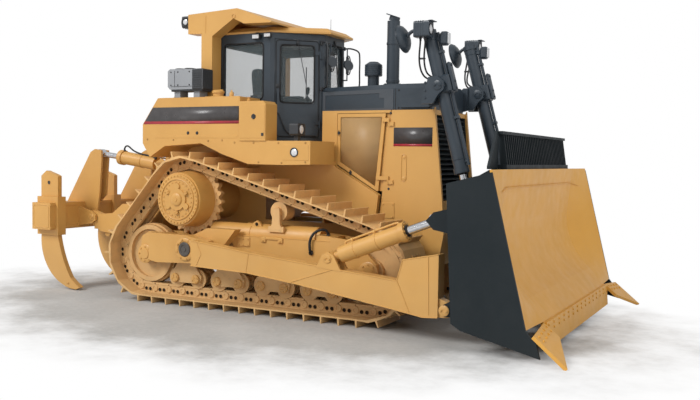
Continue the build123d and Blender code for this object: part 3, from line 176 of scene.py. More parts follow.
paints = {
    "bodyPaint": {"colour": (0.62, 0.335, 0.088), "shade": (0.56, 0.295, 0.075), "worn": (0.66, 0.39, 0.14),
                  "dust": (0.52, 0.34, 0.15), "rough": 0.42, "speckle": 0.16, "dustTop": 1.2,
                  "dustMost": 0.25},
    "bladePaint": {"colour": (0.70, 0.355, 0.058), "shade": (0.64, 0.32, 0.050), "worn": (0.56, 0.30, 0.075),
                   "dust": (0.56, 0.34, 0.11), "rough": 0.42, "speckle": 0.3, "broad": 0.9, "dustTop": 0.5,
                   "dustMost": 0.2, "gloss": 0.35},
    "trackPaint": {"colour": (0.72, 0.43, 0.165), "shade": (0.60, 0.355, 0.14), "worn": (0.42, 0.265, 0.12),
                   "dust": (0.46, 0.31, 0.15), "rough": 0.55, "speckle": 0.55, "broad": 3.2, "fine": 12.0,
                   "dustTop": 1.5, "dustMost": 0.45, "bump": 0.25},
    "slatePaint": {"colour": (0.030, 0.042, 0.055), "shade": (0.022, 0.033, 0.045),
                   "worn": (0.050, 0.064, 0.078), "dust": (0.066, 0.074, 0.080), "rough": 0.38,
                   "speckle": 0.2, "dustMost": 0.1},
    "blackPaint": {"colour": (0.009, 0.014, 0.017), "shade": (0.012, 0.017, 0.020),
                   "worn": (0.020, 0.027, 0.030), "dust": (0.040, 0.042, 0.040), "rough": 0.55,
                   "speckle": 0.25, "dustTop": 0.7, "dustMost": 0.15, "gloss": 0.22},
    "slateLight": {"colour": (0.062, 0.072, 0.084), "shade": (0.052, 0.061, 0.072),
                   "worn": (0.09, 0.095, 0.10), "dust": (0.10, 0.095, 0.085), "rough": 0.34, "speckle": 0.15,
                   "dustMost": 0.08},
    "coolerGrey": {"colour": (0.30, 0.31, 0.325), "shade": (0.26, 0.27, 0.285), "worn": (0.36, 0.36, 0.36),
                   "dust": (0.30, 0.28, 0.24), "rough": 0.45, "speckle": 0.2, "dustMost": 0.1},
}
finish = {name: paintedSteel(name, look) for name, look in paints.items()}


# a moulded or turned surface: slight change of tone and a fine grain
def plainFinish(name, colour, rough, metallic=0.0, grainScale=60.0, grainDepth=0.0008, gloss=0.5):
    material, tree, shader = newMaterial(name)
    point = objectPoint(tree)
    spread = noise(tree, point, grainScale * 0.3, 4)
    tone = mixColour(tree, remap(tree, spread, 0.35, 0.65), colour, tuple(c * 0.78 for c in colour))
    roughness = remap(tree, spread, 0.3, 0.7, rough - 0.04, rough + 0.06)
    feed(tree, shader, {"Base Color": tone, "Roughness": roughness, "Metallic": metallic,
                        "Specular IOR Level": gloss})
    bump(tree, shader, noise(tree, point, grainScale, 4), 0.3, grainDepth)
    return material


# colour, roughness, metal share, grain scale, grain depth and gloss
plainLooks = {
    "rodChrome": ((0.74, 0.75, 0.78), 0.12, 1.0, 120, 0.0001),
    "sealRubber": ((0.012, 0.012, 0.013), 0.7, 0.0, 90),
    "deepShade": ((0.030, 0.020, 0.012), 0.9, 0.0, 60, 0.0005, 0.1),
    "trimPlastic": ((0.03, 0.032, 0.036), 0.55, 0.0, 180, 0.0006),
    "boltPaint": ((0.52, 0.28, 0.075), 0.45, 0.0, 90),
    "darkBolt": ((0.04, 0.04, 0.042), 0.45, 0.3, 90),
    "castIron": ((0.09, 0.08, 0.07), 0.6, 0.2, 50, 0.002),
    "lampGlass": ((0.72, 0.73, 0.74), 0.14, 0.0, 160, 0.0012, 0.8),
    "mirrorGlass": ((0.82, 0.84, 0.86), 0.03, 1.0, 10, 0.00001),
    "bandDark": ((0.072, 0.066, 0.066), 0.30, 0.0, 40, 0.0003),
    "bandRed": ((0.40, 0.030, 0.045), 0.32, 0.0, 40, 0.0003),
}
for finishName, look in plainLooks.items():
    finish[finishName] = plainFinish(finishName, *look)


def clearGlass(name, colour, alpha, rough=0.03):
    material, tree, shader = newMaterial(name)
    point = objectPoint(tree)
    smear = remap(tree, noise(tree, point, 2.2, 5, 0.6), 0.35, 0.75, rough, rough + 0.09)
    feed(tree, shader, {"Roughness": smear, "Base Color": colour, "Alpha": alpha, "IOR": 1.45,
                        "Specular IOR Level": 0.6})
    return material


finish["cabGlass"] = clearGlass("cabGlass", (0.16, 0.20, 0.21), 0.20)


# punched sheet: round holes on a square grid, painted dark as the shade seen through them where the distance
# to the nearest grid point is small
def punchedSheet(name, colour, holeShade, pitch, share):
    material, tree, shader = newMaterial(name)
    point = objectPoint(tree)
    offsets = []
    for axis in ("X", "Z"):
        cell = mathNode(tree, "FRACT", mathNode(tree, "DIVIDE", axesOf(tree, point)[axis], pitch))
        away = mathNode(tree, "SUBTRACT", cell, 0.5)
        offsets.append(mathNode(tree, "MULTIPLY", away, away))
    distance = mathNode(tree, "SQRT", mathNode(tree, "ADD", *offsets))
    openShare = remap(tree, distance, share, share - 0.08)
    broad = noise(tree, point, 2.0, 4)
    paint = mixColour(tree, remap(tree, broad, 0.35, 0.65), colour, tuple(c * 0.86 for c in colour))
    # the holes take the painted shade colour
    feed(tree, shader, {"Base Color": mixColour(tree, openShare, paint, holeShade),
                        "Roughness": remap(tree, openShare, 0.0, 1.0, 0.45, 0.8)})
    bump(tree, shader, mathNode(tree, "SUBTRACT", 1.0, openShare), 0.6, 0.002)
    return material


# the second colour is the painted shade seen through the holes
finish["punchedSheet"] = punchedSheet("punchedSheet", (0.56, 0.335, 0.130), (0.12, 0.080, 0.045), 0.014, 0.33)

nodeFinish = {
    "bodyPaint": "radiator_guard engine_panels engine_door_left engine_door_right fenders side_skirts "
                 "fuel_tank side_boxes cab_roof rops push_arms tilt_barrels track_frame_left "
                 "track_frame_right toolbar ripper_link ripper_bracket ripper_tip_barrels "
                 "ripper_lift_barrels main_frame final_drives shanks",
    "bladePaint": "moldboard cutting_edge",
    "trackPaint": "track_left track_right sprockets idlers track_rollers carrier_rollers pivot_shaft",
    "slatePaint": "hood cab_frame cab_door_left cab_door_right exhaust lift_barrels lift_yokes mirrors "
                  "work_lamps",
    "coolerGrey": "aircon_box",
    "blackPaint": "grille radiator trash_rack blade_frame",
    "rodChrome": "lift_rods tilt_rods ripper_tip_rods ripper_lift_rods",
    "cabGlass": "cab_glass cab_door_glass_left cab_door_glass_right",
    "castIron": "engine ripper_pins",
    "trimPlastic": "console seat lamps",
}
for finishName, names in nodeFinish.items():
    for nodeName in names.split():
        mesh = nodes[nodeName].data
        mesh.materials.clear()
        mesh.materials.append(finish[finishName])
print("finishes set")


# surfaces worked out on grids

# quads between neighbours of a rows by columns grid of points, wrapped where asked
def gridFaces(rows, columns, closeRows=False, closeColumns=False):
    r = np.arange(rows if closeRows else rows - 1)
    c = np.arange(columns if closeColumns else columns - 1)
    r, c = np.meshgrid(r, c, indexing="ij")
    rn, cn = (r + 1) % rows, (c + 1) % columns
    corners = [r * columns + c, r * columns + cn, rn * columns + cn, rn * columns + c]
    return np.stack(corners, -1).reshape(-1, 4)


# two directions at right angles to an axis, and the axis itself, as rows
def frameOf(axis):
    axis = np.asarray(axis, float)
    axis = axis / np.linalg.norm(axis)
    side = np.cross(axis, [0, 0, 1.0] if abs(axis[2]) < 0.9 else [1.0, 0, 0])
    side = side / np.linalg.norm(side)
    return np.stack([side, np.cross(axis, side), axis])


# revolve: at angle t and profile point (r, h) the point is place + r (cos t, sin t) + h along the axis
def turnedShape(profile, place=(0, 0, 0), axis=(0, 0, 1), steps=24):
    profile = np.asarray(profile, float)
    angle = np.linspace(0, 2 * np.pi, steps, endpoint=False)
    basis = frameOf(axis)
    r, h = profile[:, 0][:, None], profile[:, 1][:, None]
    local = np.stack([r * np.cos(angle), r * np.sin(angle), h + 0 * angle], -1).reshape(-1, 3)
    return local @ basis + np.asarray(place, float), gridFaces(len(profile), steps, False, True)


# the same shape at each shift: points plus shift, faces renumbered
def repeated(shape, shifts):
    points, faces = shape
    shifts = np.asarray(shifts, float)
    allPoints = (points[None] + shifts[:, None]).reshape(-1, 3)
    firsts = np.arange(len(shifts)) * len(points)
    return allPoints, (faces[None] + firsts[:, None, None]).reshape(-1, faces.shape[1])


# several shapes as one list of points and faces
def together(*shapes):
    offsets = np.cumsum([0] + [len(points) for points, _ in shapes[:-1]])
    return (np.concatenate([points for points, _ in shapes]),
            np.concatenate([faces + start for (_, faces), start in zip(shapes, offsets)]))


# the shape on the other side of the centre line, faces turned round so that they point outwards
def mirrored(shape):
    points, faces = shape
    return points * np.array([1, -1, 1]), faces[:, ::-1]


def bothSides(shape):
    return together(shape, mirrored(shape))


# a block with its edges cut by a bevel: six inset faces, twelve edge strips, eight corner triangles as quads
def box(low, high, bevel=0.0):
    low, high = np.asarray(low, float), np.asarray(high, float)
    b = min(bevel, 0.45 * float((high - low).min()))
    if b <= 0:
        corner = np.array([[x, y, z] for z in (0, 1) for x, y in ((0, 0), (1, 0), (1, 1), (0, 1))], float)
        faces = np.array([[3, 2, 1, 0], [4, 5, 6, 7], [0, 1, 5, 4], [1, 2, 6, 5], [2, 3, 7, 6], [3, 0, 4, 7]])
        return low + corner * (high - low), faces
    sizes = high - low

    def loop(inset, z):
        x0, y0, x1, y1 = inset, inset, sizes[0] - inset, sizes[1] - inset
        c = max(b - inset, 0)
        return [[x0 + c, y0, z], [x1 - c, y0, z], [x1, y0 + c, z], [x1, y1 - c, z], [x1 - c, y1, z],
                [x0 + c, y1, z], [x0, y1 - c, z], [x0, y0 + c, z]]

    rows = np.array([loop(b, 0), loop(0, b), loop(0, sizes[2] - b), loop(b, sizes[2])])
    points = rows.reshape(-1, 3) + low
    faces = gridFaces(4, 8, False, True)
    caps = np.array([[0, 7, 2, 1], [7, 6, 3, 2], [6, 5, 4, 3]])
    top = caps[:, ::-1] + 24
    return points, np.concatenate([faces, caps, top])


# a round section carried along a path, square to the way; its sides are set off from the axis that the path
# follows least
def tube(path, radius, steps=10, capped=True, closed=False):
    path = np.asarray(path, float)
    ahead = np.roll(path, -1, 0) - np.roll(path, 1, 0) if closed else np.gradient(path, axis=0)
    ahead /= np.linalg.norm(ahead, axis=1)[:, None]
    reference = np.eye(3)[np.abs(ahead).max(0).argmin()]
    side = np.cross(ahead, reference)
    side /= np.linalg.norm(side, axis=1)[:, None]
    up = np.cross(side, ahead)
    angle = np.linspace(0, 2 * np.pi, steps, endpoint=False)
    radius = np.broadcast_to(np.asarray(radius, float), (len(path),))[:, None, None]
    ring = side[:, None] * np.cos(angle)[None, :, None] + up[:, None] * np.sin(angle)[None, :, None]
    points = (path[:, None] + radius * ring).reshape(-1, 3)
    faces = gridFaces(len(path), steps, closed, True)
    if closed or not capped:
        return points, faces
    ends = np.stack([path[0], path[-1]])
    start = len(points)
    k = np.arange(steps)
    first = np.stack([k, (k + 1) % steps, np.full(steps, start), np.full(steps, start)], -1)
    last = (len(path) - 1) * steps + np.stack([(k + 1) % steps, k], -1)
    last = np.concatenate([last, np.full((steps, 2), start + 1)], -1)
    return np.concatenate([points, ends]), np.concatenate([faces, first, last])


# a smooth line through the points: each span is a cubic with slopes from its neighbours
def curvePath(points, count=40):
    p = np.asarray(points, float)
    p = np.concatenate([2 * p[:1] - p[1:2], p, 2 * p[-1:] - p[-2:-1]])
    spans = len(p) - 3
    t = np.linspace(0, spans, count, endpoint=True)
    k = np.minimum(t.astype(int), spans - 1)
    u = (t - k)[:, None]
    a, b, c, d = p[k], p[k + 1], p[k + 2], p[k + 3]
    square, cube = 2 * a - 5 * b + 4 * c - d, 3 * b - a - 3 * c + d
    return 0.5 * (2 * b + (c - a) * u + square * u ** 2 + cube * u ** 3)


# puts points and faces into a mesh; a face's first or last corner may repeat, which makes it a triangle
def addPiece(name, shape, material, body="tractor", smooth=True, slotName=None, hardAngle=35):
    points, faces = shape
    points = points - np.array([originShift, 0, 0])
    turnedRound = faces[:, 0] == faces[:, 1]
    faces = np.where(turnedRound[:, None], np.roll(faces, 2, 1), faces)
    triangle = faces[:, 2] == faces[:, 3]
    quads, triangles = faces[~triangle], faces[triangle][:, :3]
    counts = np.concatenate([np.full(len(quads), 4), np.full(len(triangles), 3)]).astype(np.int32)
    corners = np.concatenate([quads.ravel(), triangles.ravel()]).astype(np.int32)
    mesh = bpy.data.meshes.new(name)
    mesh.vertices.add(len(points))
    mesh.vertices.foreach_set("co", points.astype(np.float32).ravel())
    mesh.loops.add(len(corners))
    mesh.loops.foreach_set("vertex_index", corners)
    mesh.polygons.add(len(counts))
    mesh.polygons.foreach_set("loop_start", np.concatenate([[0], np.cumsum(counts)[:-1]]).astype(np.int32))
    mesh.polygons.foreach_set("loop_total", counts)
    mesh.update(calc_edges=True)
    mesh.validate()
    work = bmesh.new()
    work.from_mesh(mesh)
    bmesh.ops.remove_doubles(work, verts=work.verts, dist=0.00002)
    bmesh.ops.recalc_face_normals(work, faces=work.faces)
    work.to_mesh(mesh)
    work.free()
    if smooth:
        mesh.shade_smooth()
        mesh.set_sharp_from_angle(angle=math.radians(hardAngle))
    mesh.materials.append(finish[material])
    piece = bpy.data.objects.new(name, mesh)
    bpy.context.scene.collection.objects.link(piece)
    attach(piece, body)
    return piece


# the piece and its mirror image as one object
def addPair(name, shape, material, body="tractor", **options):
    return addPiece(name, bothSides(shape), material, body, **options)


# a six-sided head on a round washer, standing on the plane through the origin
def boltShape(radius, height, axis, washer=1.45):
    flat = 0.12 * radius
    head = turnedShape([(0.001, height), (radius * 0.82, height), (radius, height - flat), (radius, flat)],
                       axis=axis, steps=6)
    ring = turnedShape([(radius * 0.9, flat), (radius * washer - flat * 0.5, flat),
                        (radius * washer, flat * 0.4), (radius * washer, -flat)], axis=axis, steps=14)
    return together(head, ring)


# places on a circle about an axis: centre + radius (cos t, sin t)
def boltCircle(centre, radius, count, axis, start=0.0):
    angle = start + np.linspace(0, 2 * np.pi, count, endpoint=False)
    across, over = frameOf(axis)[:2]
    return np.asarray(centre) + radius * (np.cos(angle)[:, None] * across + np.sin(angle)[:, None] * over)


# a side outline (x, z) filled between two values of y: two rings of points, quads between them, fans as caps
def prism(outline, yLow, yHigh):
    p = np.asarray(outline, float)
    q = np.roll(p, -1, 0)
    if (p[:, 0] * q[:, 1] - q[:, 0] * p[:, 1]).sum() < 0:
        p = p[::-1]
    count = len(p)
    k = np.arange(count)
    n = (k + 1) % count
    points = np.concatenate([np.stack([p[:, 0], np.full(count, y), p[:, 1]], -1) for y in (yLow, yHigh)])
    sides = np.stack([n, k, count + k, count + n], -1)
    i = np.arange(1, count - 1)
    lowCap = np.stack([0 * i, i, i + 1, i + 1], -1)
    highCap = np.stack([0 * i, i + 1, i, i], -1) + count
    return points, np.concatenate([sides, lowCap, highCap])


# a rectangle with round corners as a closed line: origin + u along + v across, corners of the given radius
def roundedLoop(origin, along, across, size, radius, cornerSteps=5):
    origin, along, across = (np.asarray(v, float) for v in (origin, along, across))
    quarter = np.linspace(0, np.pi / 2, cornerSteps)
    corners = [(size[0] - radius, size[1] - radius, 0), (radius, size[1] - radius, 1), (radius, radius, 2),
               (size[0] - radius, radius, 3)]
    arcs = []
    for u, v, turn in corners:
        angle = quarter + turn * np.pi / 2
        arcs.append(np.stack([u + radius * np.cos(angle), v + radius * np.sin(angle)], -1))
    flat = np.concatenate(arcs)
    return origin + flat[:, :1] * along + flat[:, 1:] * across


right, left, forward, backward, upward = (0, -1, 0), (0, 1, 0), (1, 0, 0), (-1, 0, 0), (0, 0, 1)


# a flat band round a round piece: from the inner radius out, with its edges cut back by the chamfer
def bandRing(inner, outer, half, chamfer, place, axis, steps):
    flat = half - chamfer
    return turnedShape([(inner, -half), (outer, -flat), (outer, flat), (inner, half)], place, axis, steps)


# the same bolt at each of the places
def boltsAt(spots, radius, height, axis):
    return repeated(boltShape(radius, height, axis), spots)


# a tube bent round an upright rectangle with round corners, from the rectangle's lower corner on
def rimTube(start, size, bend, radius, steps=8, across=forward):
    return tube(roundedLoop(start, across, upward, size, bend), radius, steps, closed=True)


# tracks
trackLook = {
    "shoes": 43,
    "wheels": ((-1.737, 0.655), (1.737, 0.655), (-1.040, 1.440)),  # x and z of the wheels in the loop
    "pitchRadius": 0.484,
    "middle": 1.125,  # from the centre line to the middle of a track
    "shoeFace": 0.087,  # from the pin line out to the shoe's face
    "railHalf": 0.101,  # half of the chain's width
}


# the pin line: arcs of the pitch radius round each wheel, then a straight run; gives x, z and heading at each
# share of its length
def trackLine(share):
    wheels = np.array(trackLook["wheels"])
    radius = trackLook["pitchRadius"]
    ahead = np.roll(wheels, -1, 0) - wheels
    heading = np.arctan2(ahead[:, 1], ahead[:, 0])
    arriving = np.roll(heading, 1)
    turn = (heading - arriving) % (2 * np.pi)
    run = np.hypot(ahead[:, 0], ahead[:, 1])
    lengths = np.stack([turn * radius, run], 1).ravel()
    starts = np.concatenate([[0], np.cumsum(lengths)])
    total = starts[-1]
    distance = np.asarray(share) * total
    span = np.clip(np.searchsorted(starts, distance, side="right") - 1, 0, 5)
    past = distance - starts[span]
    wheel, isRun = span // 2, span % 2
    angle = np.where(isRun, heading[wheel], arriving[wheel] + past / radius)
    past = np.where(isRun, past, 0)
    x = wheels[wheel, 0] + radius * np.sin(angle) + past * np.cos(angle)
    z = wheels[wheel, 1] - radius * np.cos(angle) + past * np.sin(angle)
    return x, z, angle


# copies of a shape given as (along, across, outwards) from the pin line: x = px + a cos h + o sin h and
# z = pz + a sin h - o cos h, where h is the heading there
def alongTrack(shape, shares):
    points, faces = shape
    x, z, angle = (v[:, None] for v in trackLine(shares))
    a, y, o = (points[:, i][None] for i in range(3))
    moved = np.stack([x + a * np.cos(angle) + o * np.sin(angle),
                      np.broadcast_to(y, (len(shares), len(points))),
                      z + a * np.sin(angle) - o * np.cos(angle)], -1).reshape(-1, 3)
    allFaces = (faces[None] + (np.arange(len(shares)) * len(points))[:, None, None]).reshape(-1, 4)
    return moved, allFaces[:, ::-1]


shoeShares = (np.arange(trackLook["shoes"]) + 0.5) / trackLook["shoes"]
pinShares = np.arange(trackLook["shoes"]) / trackLook["shoes"]
shoeBolt = boltShape(0.0145, 0.014, upward)
railSide = -trackLook["railHalf"]
boltSpots = [(a, y, trackLook["shoeFace"]) for a in (0.032, 0.082) for y in (-0.108, -0.042, 0.042, 0.108)]
shoeBolts = alongTrack(repeated(shoeBolt, boltSpots), shoeShares)
linkBoss = turnedShape([(0.05, -0.002), (0.05, 0.010), (0.044, 0.015), (0.026, 0.015), (0.024, 0.010),
                        (0.001, 0.010)], (0, railSide, 0), right, 16)
windowSpots = [(a, railSide, 0.016) for a in (-0.036, 0.036)]
linkWindow = repeated(turnedShape([(0.031, -0.002), (0.031, 0.004), (0.027, 0.006), (0.0245, 0.001)],
                                  axis=right, steps=16), windowSpots)
# a dark disc deep in each link window: painted shade
windowShade = repeated(turnedShape([(0.0255, -0.002), (0.0255, 0.002), (0.001, 0.002)], axis=right, steps=14),
                       windowSpots)
# a dark block in the gap between links: painted shade
linkGapShade = box((-0.0035, railSide - 0.0025, -0.070), (0.0035, railSide + 0.004, -0.050), 0.001)
linkRidge = box((-0.112, railSide - 0.006, -0.072), (0.112, railSide + 0.004, -0.046), 0.005)
chain = together(shoeBolts, alongTrack(bothSides(linkBoss), pinShares),
                 alongTrack(bothSides(linkRidge), shoeShares), alongTrack(bothSides(linkWindow), shoeShares))
shades = together(alongTrack(bothSides(windowShade), shoeShares), alongTrack(bothSides(linkGapShade), pinShares))
for name, (points, faces), material in (("shoeBoltsAndLinks", chain, "trackPaint"),
                                        ("linkWindowShades", shades, "deepShade")):
    addPair(name, (points - np.array([0, trackLook["middle"], 0]), faces), material, slotName="track_paint")
print("tracks dressed")


# running gear: hub caps, roller caps, final drive
gearLook = {"idlers": (-1.737, 1.737), "idlerZ": 0.655, "hubFace": 1.308, "rollerZ": 0.3593,
            "rollerFace": 1.301, "driveCentre": (-1.040, 1.440), "driveFace": 1.478, "lobeFace": 1.498}
rollerX = np.array([(n - 1.5) * 0.70 + e * 0.175 for n in range(4) for e in (-1, 1)])
rollerCap = together(
    turnedShape([(0.062, -0.014), (0.062, 0.006), (0.054, 0.014), (0.020, 0.014), (0.016, 0.008),
                 (0.001, 0.008)], (0, 0, 0), right, 20),
    boltsAt(boltCircle((0, -0.014, 0), 0.038, 4, right, 0.4), 0.008, 0.008, right))
rollerCaps = repeated(rollerCap, [(x, -gearLook["rollerFace"], gearLook["rollerZ"]) for x in rollerX])
hubCap = together(
    turnedShape([(0.130, -0.002), (0.130, 0.014), (0.120, 0.020), (0.075, 0.020), (0.068, 0.030),
                 (0.001, 0.030)], (0, 0, 0), right, 28),
    boltsAt(boltCircle((0, -0.020, 0), 0.098, 8, right), 0.011, 0.012, right))
hubCaps = repeated(hubCap, [(x, -gearLook["hubFace"], gearLook["idlerZ"]) for x in gearLook["idlers"]])
dx, dz = gearLook["driveCentre"]
driveMiddle, lobeMiddle = (dx, -gearLook["driveFace"], dz), (dx, -gearLook["lobeFace"], dz)
driveBolts = together(boltsAt(boltCircle(driveMiddle, 0.312, 36, right), 0.0105, 0.012, right),
                      boltsAt(boltCircle(driveMiddle, 0.232, 24, right, 0.13), 0.0095, 0.010, right))
driveRing = turnedShape([(0.276, -0.001), (0.276, 0.009), (0.268, 0.013), (0.262, 0.009), (0.262, -0.001)],
                        driveMiddle, right, 64)
lobeCap = together(
    turnedShape([(0.030, -0.002), (0.030, 0.010), (0.024, 0.016), (0.001, 0.016)], (0, 0, 0), right, 18),
    boltsAt(boltCircle((0, -0.016, 0), 0.017, 3, right), 0.006, 0.006, right))
lobes = repeated(lobeCap, boltCircle(lobeMiddle, 0.175, 3, right, math.pi / 2))
centreCap = turnedShape([(0.085, -0.002), (0.085, 0.012), (0.070, 0.022), (0.030, 0.022), (0.026, 0.030),
                         (0.001, 0.030)], lobeMiddle, right, 32)
addPair("hubAndDriveCovers", together(rollerCaps, hubCaps, driveBolts, driveRing, lobes, centreCap),
        "bodyPaint")
sprocketSegments = boltsAt(boltCircle((dx, -1.165, dz), 0.405, 30, right), 0.013, 0.014, right)
addPair("sprocketBolts", sprocketSegments, "trackPaint")
print("running gear dressed")


# push arms: trunnion caps, weld seams, pins
armLook = {"outer": 1.790, "trunnion": (-0.795, 0.802), "tiltPin": (1.443, -1.796, 0.849),
           "bladePins": ((2.904, -1.814, 0.389), (2.904, -1.586, 0.389))}
tx, tz = armLook["trunnion"]
trunnionCap = together(
    turnedShape([(0.150, -0.002), (0.150, 0.012), (0.140, 0.018), (0.112, 0.018), (0.106, 0.012),
                 (0.100, 0.012)], (tx, -1.616, tz), right, 40),
    boltsAt(boltCircle((tx, -1.634, tz), 0.127, 8, right, 0.3), 0.012, 0.012, right))
addPair("trunnionCaps", trunnionCap, "bodyPaint", body="push_arms")
trunnionEnd = turnedShape([(0.094, -0.02), (0.094, 0.004), (0.086, 0.010), (0.060, 0.010), (0.056, 0.004),
                           (0.030, 0.004), (0.026, 0.012), (0.001, 0.012)], (tx, -1.630, tz), right, 32)
addPair("trunnionEnds", trunnionEnd, "castIron")


# a fillet weld: a tube whose radius ripples along its length
def weld(path, radius=0.008):
    path = np.asarray(path, float)
    length = np.concatenate([[0], np.cumsum(np.linalg.norm(np.diff(path, axis=0), axis=1))])
    count = max(int(length[-1] / 0.009), 4)
    s = np.linspace(0, length[-1], count)
    line = np.stack([np.interp(s, length, path[:, i]) for i in range(3)], -1)
    ripple = radius * (1 + 0.14 * np.sin(s * 2 * np.pi / 0.018) + 0.08 * np.sin(s * 2 * np.pi / 0.37))
    return tube(line, ripple, 6)


armTop = [(-0.565, 0.944), (0.290, 0.845), (1.425, 0.743), (2.328, 0.664), (2.396, 0.905), (2.820, 0.990)]
armFoot = [(2.820, 0.300), (2.639, 0.288), (2.334, 0.336), (1.696, 0.425), (1.017, 0.520), (0.292, 0.597),
           (-0.563, 0.621)]
outerY = -armLook["outer"]
seams = together(
    weld([(x, outerY, z) for x, z in armTop], 0.007), weld([(x, outerY, z) for x, z in armFoot], 0.007),
    weld([(2.328, outerY, 0.664), (2.480, outerY, 0.330)], 0.009),
    weld([(0.921, outerY, 0.531), (1.523, outerY, 0.733)], 0.007),
    weld([(2.700, outerY, 0.965), (2.716, outerY, 0.320)], 0.007),
    weld([(0.292, outerY, 0.597), (0.330, outerY, 0.842)], 0.006),
    weld([(-0.47, outerY, 0.930), (-0.40, outerY, 0.78), (-0.47, outerY, 0.640)], 0.008))
addPair("armSeams", seams, "bodyPaint", body="push_arms")


# the end of a pin: a domed disc, and a locking plate with two bolts beside it
def pinEnd(place, axis, radius, plate=0.012):
    disc = turnedShape([(radius, -0.004), (radius, plate * 0.7), (radius * 0.9, plate),
                        (radius * 0.25, plate), (radius * 0.2, plate * 0.6), (0.001, plate * 0.6)], place,
                       axis, 26)
    basis = frameOf(axis)
    spots = [np.asarray(place) + sign * basis[0] * radius * 0.55 + basis[2] * plate for sign in (1, -1)]
    return together(disc, boltsAt(spots, radius * 0.22, plate, axis))


addPair("tiltPinEnds", pinEnd(armLook["tiltPin"], right, 0.050), "bodyPaint", body="tilt_barrels")
outerPin, innerPin = armLook["bladePins"]
bladePins = together(pinEnd(outerPin, right, 0.060), pinEnd(innerPin, left, 0.060))
addPair("bladePinEnds", bladePins, "bodyPaint", body="blade")
print("push arms dressed")


# blade: edge bolts and weld seams
edgeLook = {"boltRadius": 0.0135, "boltHeight": 0.012, "rows": (0.305, 0.252), "count": 15, "half": 1.54,
            "axis": (0.9975, 0, 0.0706), "top": (3.9703, 0.340), "foot": (3.990, 0.062)}


# the cutting edge's face leans: x at a height, on the line from its top to its foot
def edgeFace(z):
    (topX, topZ), (footX, footZ) = edgeLook["top"], edgeLook["foot"]
    return topX + (topZ - z) * (footX - topX) / (topZ - footZ)


edgeSpots = [(edgeFace(z), y, z) for z in edgeLook["rows"]
             for y in np.linspace(-edgeLook["half"], edgeLook["half"], edgeLook["count"])]
edgeBolts = boltsAt(edgeSpots, edgeLook["boltRadius"], edgeLook["boltHeight"], edgeLook["axis"])
bitCorners = np.array([(3.940, -1.6003, 0.340), (3.985, -2.155, 0.300), (4.325, -2.160, 0.016)])
bitNormal = np.cross(bitCorners[1] - bitCorners[0], bitCorners[2] - bitCorners[0])
bitNormal /= np.linalg.norm(bitNormal)
u, v = np.meshgrid([0.12, 0.36, 0.60, 0.84], [0.16, 0.36])
acrossBit = bitCorners[1] - bitCorners[0]
downBit = np.cross(bitNormal, acrossBit / np.linalg.norm(acrossBit))
downBit = downBit * np.sign(-downBit[2])
bitSpots = bitCorners[0] + u.reshape(-1, 1) * acrossBit + v.reshape(-1, 1) * 0.30 * downBit
bitBolts = boltsAt(bitSpots, edgeLook["boltRadius"], edgeLook["boltHeight"], bitNormal)
addPiece("edgeBolts", together(edgeBolts, bothSides(bitBolts)), "bladePaint", "blade")
seamLeft, seamRight = ((3.470, side * 1.46, 1.728) for side in (1, -1))
bladeSeams = together(
    weld([seamRight, (3.4685, 0, 1.728), seamLeft], 0.006),
    weld([seamRight, (3.538, -2.118, 1.632)], 0.006),
    weld([seamLeft, (3.538, 2.118, 1.632)], 0.006))
addPiece("bladeSeams", bladeSeams, "bladePaint", "blade")
print("blade dressed")


# dark bands with a red line on the tank and the guard, hatches, latches and screws on the sides
sideLook = {"tankFace": 1.255, "boxFace": 1.270, "guardFace": 0.585, "doorFace": 0.590, "film": 0.0018,
            "bandRear": ((-1.806, 2.490), (-1.664, 2.680)), "bandFront": -0.206, "redFoot": 2.452}
face, film = sideLook["tankFace"], sideLook["film"]
(rearLowX, bandLow), (rearHighX, bandHigh) = sideLook["bandRear"]
band = prism([(rearLowX, bandLow), (sideLook["bandFront"], bandLow), (sideLook["bandFront"], bandHigh),
              (rearHighX, bandHigh)], -face - film, -face + film)
redBand = prism([(-1.834, sideLook["redFoot"]), (sideLook["bandFront"], sideLook["redFoot"]),
                 (sideLook["bandFront"], bandLow), (rearLowX, bandLow)], -face - film, -face + film)
guard = sideLook["guardFace"]
plate = prism([(1.700, 2.212), (2.228, 2.212), (2.228, 2.418), (1.700, 2.418)], -guard - film, -guard + film)
redPlate = prism([(1.700, 2.182), (2.228, 2.182), (2.228, 2.212), (1.700, 2.212)], -guard - film,
                 -guard + film)
addPair("darkBands", together(band, plate), "bandDark", smooth=False)
addPair("redLines", together(redBand, redPlate), "bandRed", smooth=False)

boxFace = sideLook["boxFace"]
hatch = box((-0.186, -boxFace - 0.004, 2.262), (0.196, -boxFace + 0.002, 2.690), 0.004)
tankHatch = box((-1.62, -face - 0.003, 2.262), (-0.24, -face + 0.002, 2.300), 0.003)
addPair("boxHatches", together(hatch, tankHatch), "bodyPaint")
boxLatch = together(
    turnedShape([(0.034, -0.001), (0.034, 0.004), (0.028, 0.007), (0.020, 0.003), (0.001, 0.003)],
                (0.030, -boxFace - 0.004, 2.540), right, 20),
    box((0.022, -boxFace - 0.012, 2.505), (0.038, -boxFace - 0.004, 2.575), 0.003),
    box((0.150, -boxFace - 0.010, 2.290), (0.186, -boxFace - 0.004, 2.330), 0.003))
tankBolts = boltsAt([(-1.048, -face, 2.330), (-0.895, -face, 2.330)], 0.016, 0.010, right)
doorFace = sideLook["doorFace"]
doorLatches = [(0.914, -doorFace, 2.350), (1.092, -doorFace, 1.835)]
latch = together(
    turnedShape([(0.020, -0.001), (0.020, 0.007), (0.016, 0.010), (0.001, 0.010)], (0, 0, 0), right, 16),
    box((-0.006, -0.018, -0.034), (0.006, -0.008, 0.034), 0.003))
guardScrews = boltsAt([(1.655, -doorFace, 2.600), (1.640, -guard, 1.640)], 0.011, 0.008, right)
addPair("sideLatches", together(boxLatch, tankBolts), "darkBolt")
addPair("guardScrews", guardScrews, "darkBolt")
screen = prism([(0.941, 2.549), (1.527, 2.549), (1.445, 1.672), (0.941, 1.979)], -0.5835, -0.5815)
sideTurns = (("right", lambda shape: shape), ("left", mirrored))
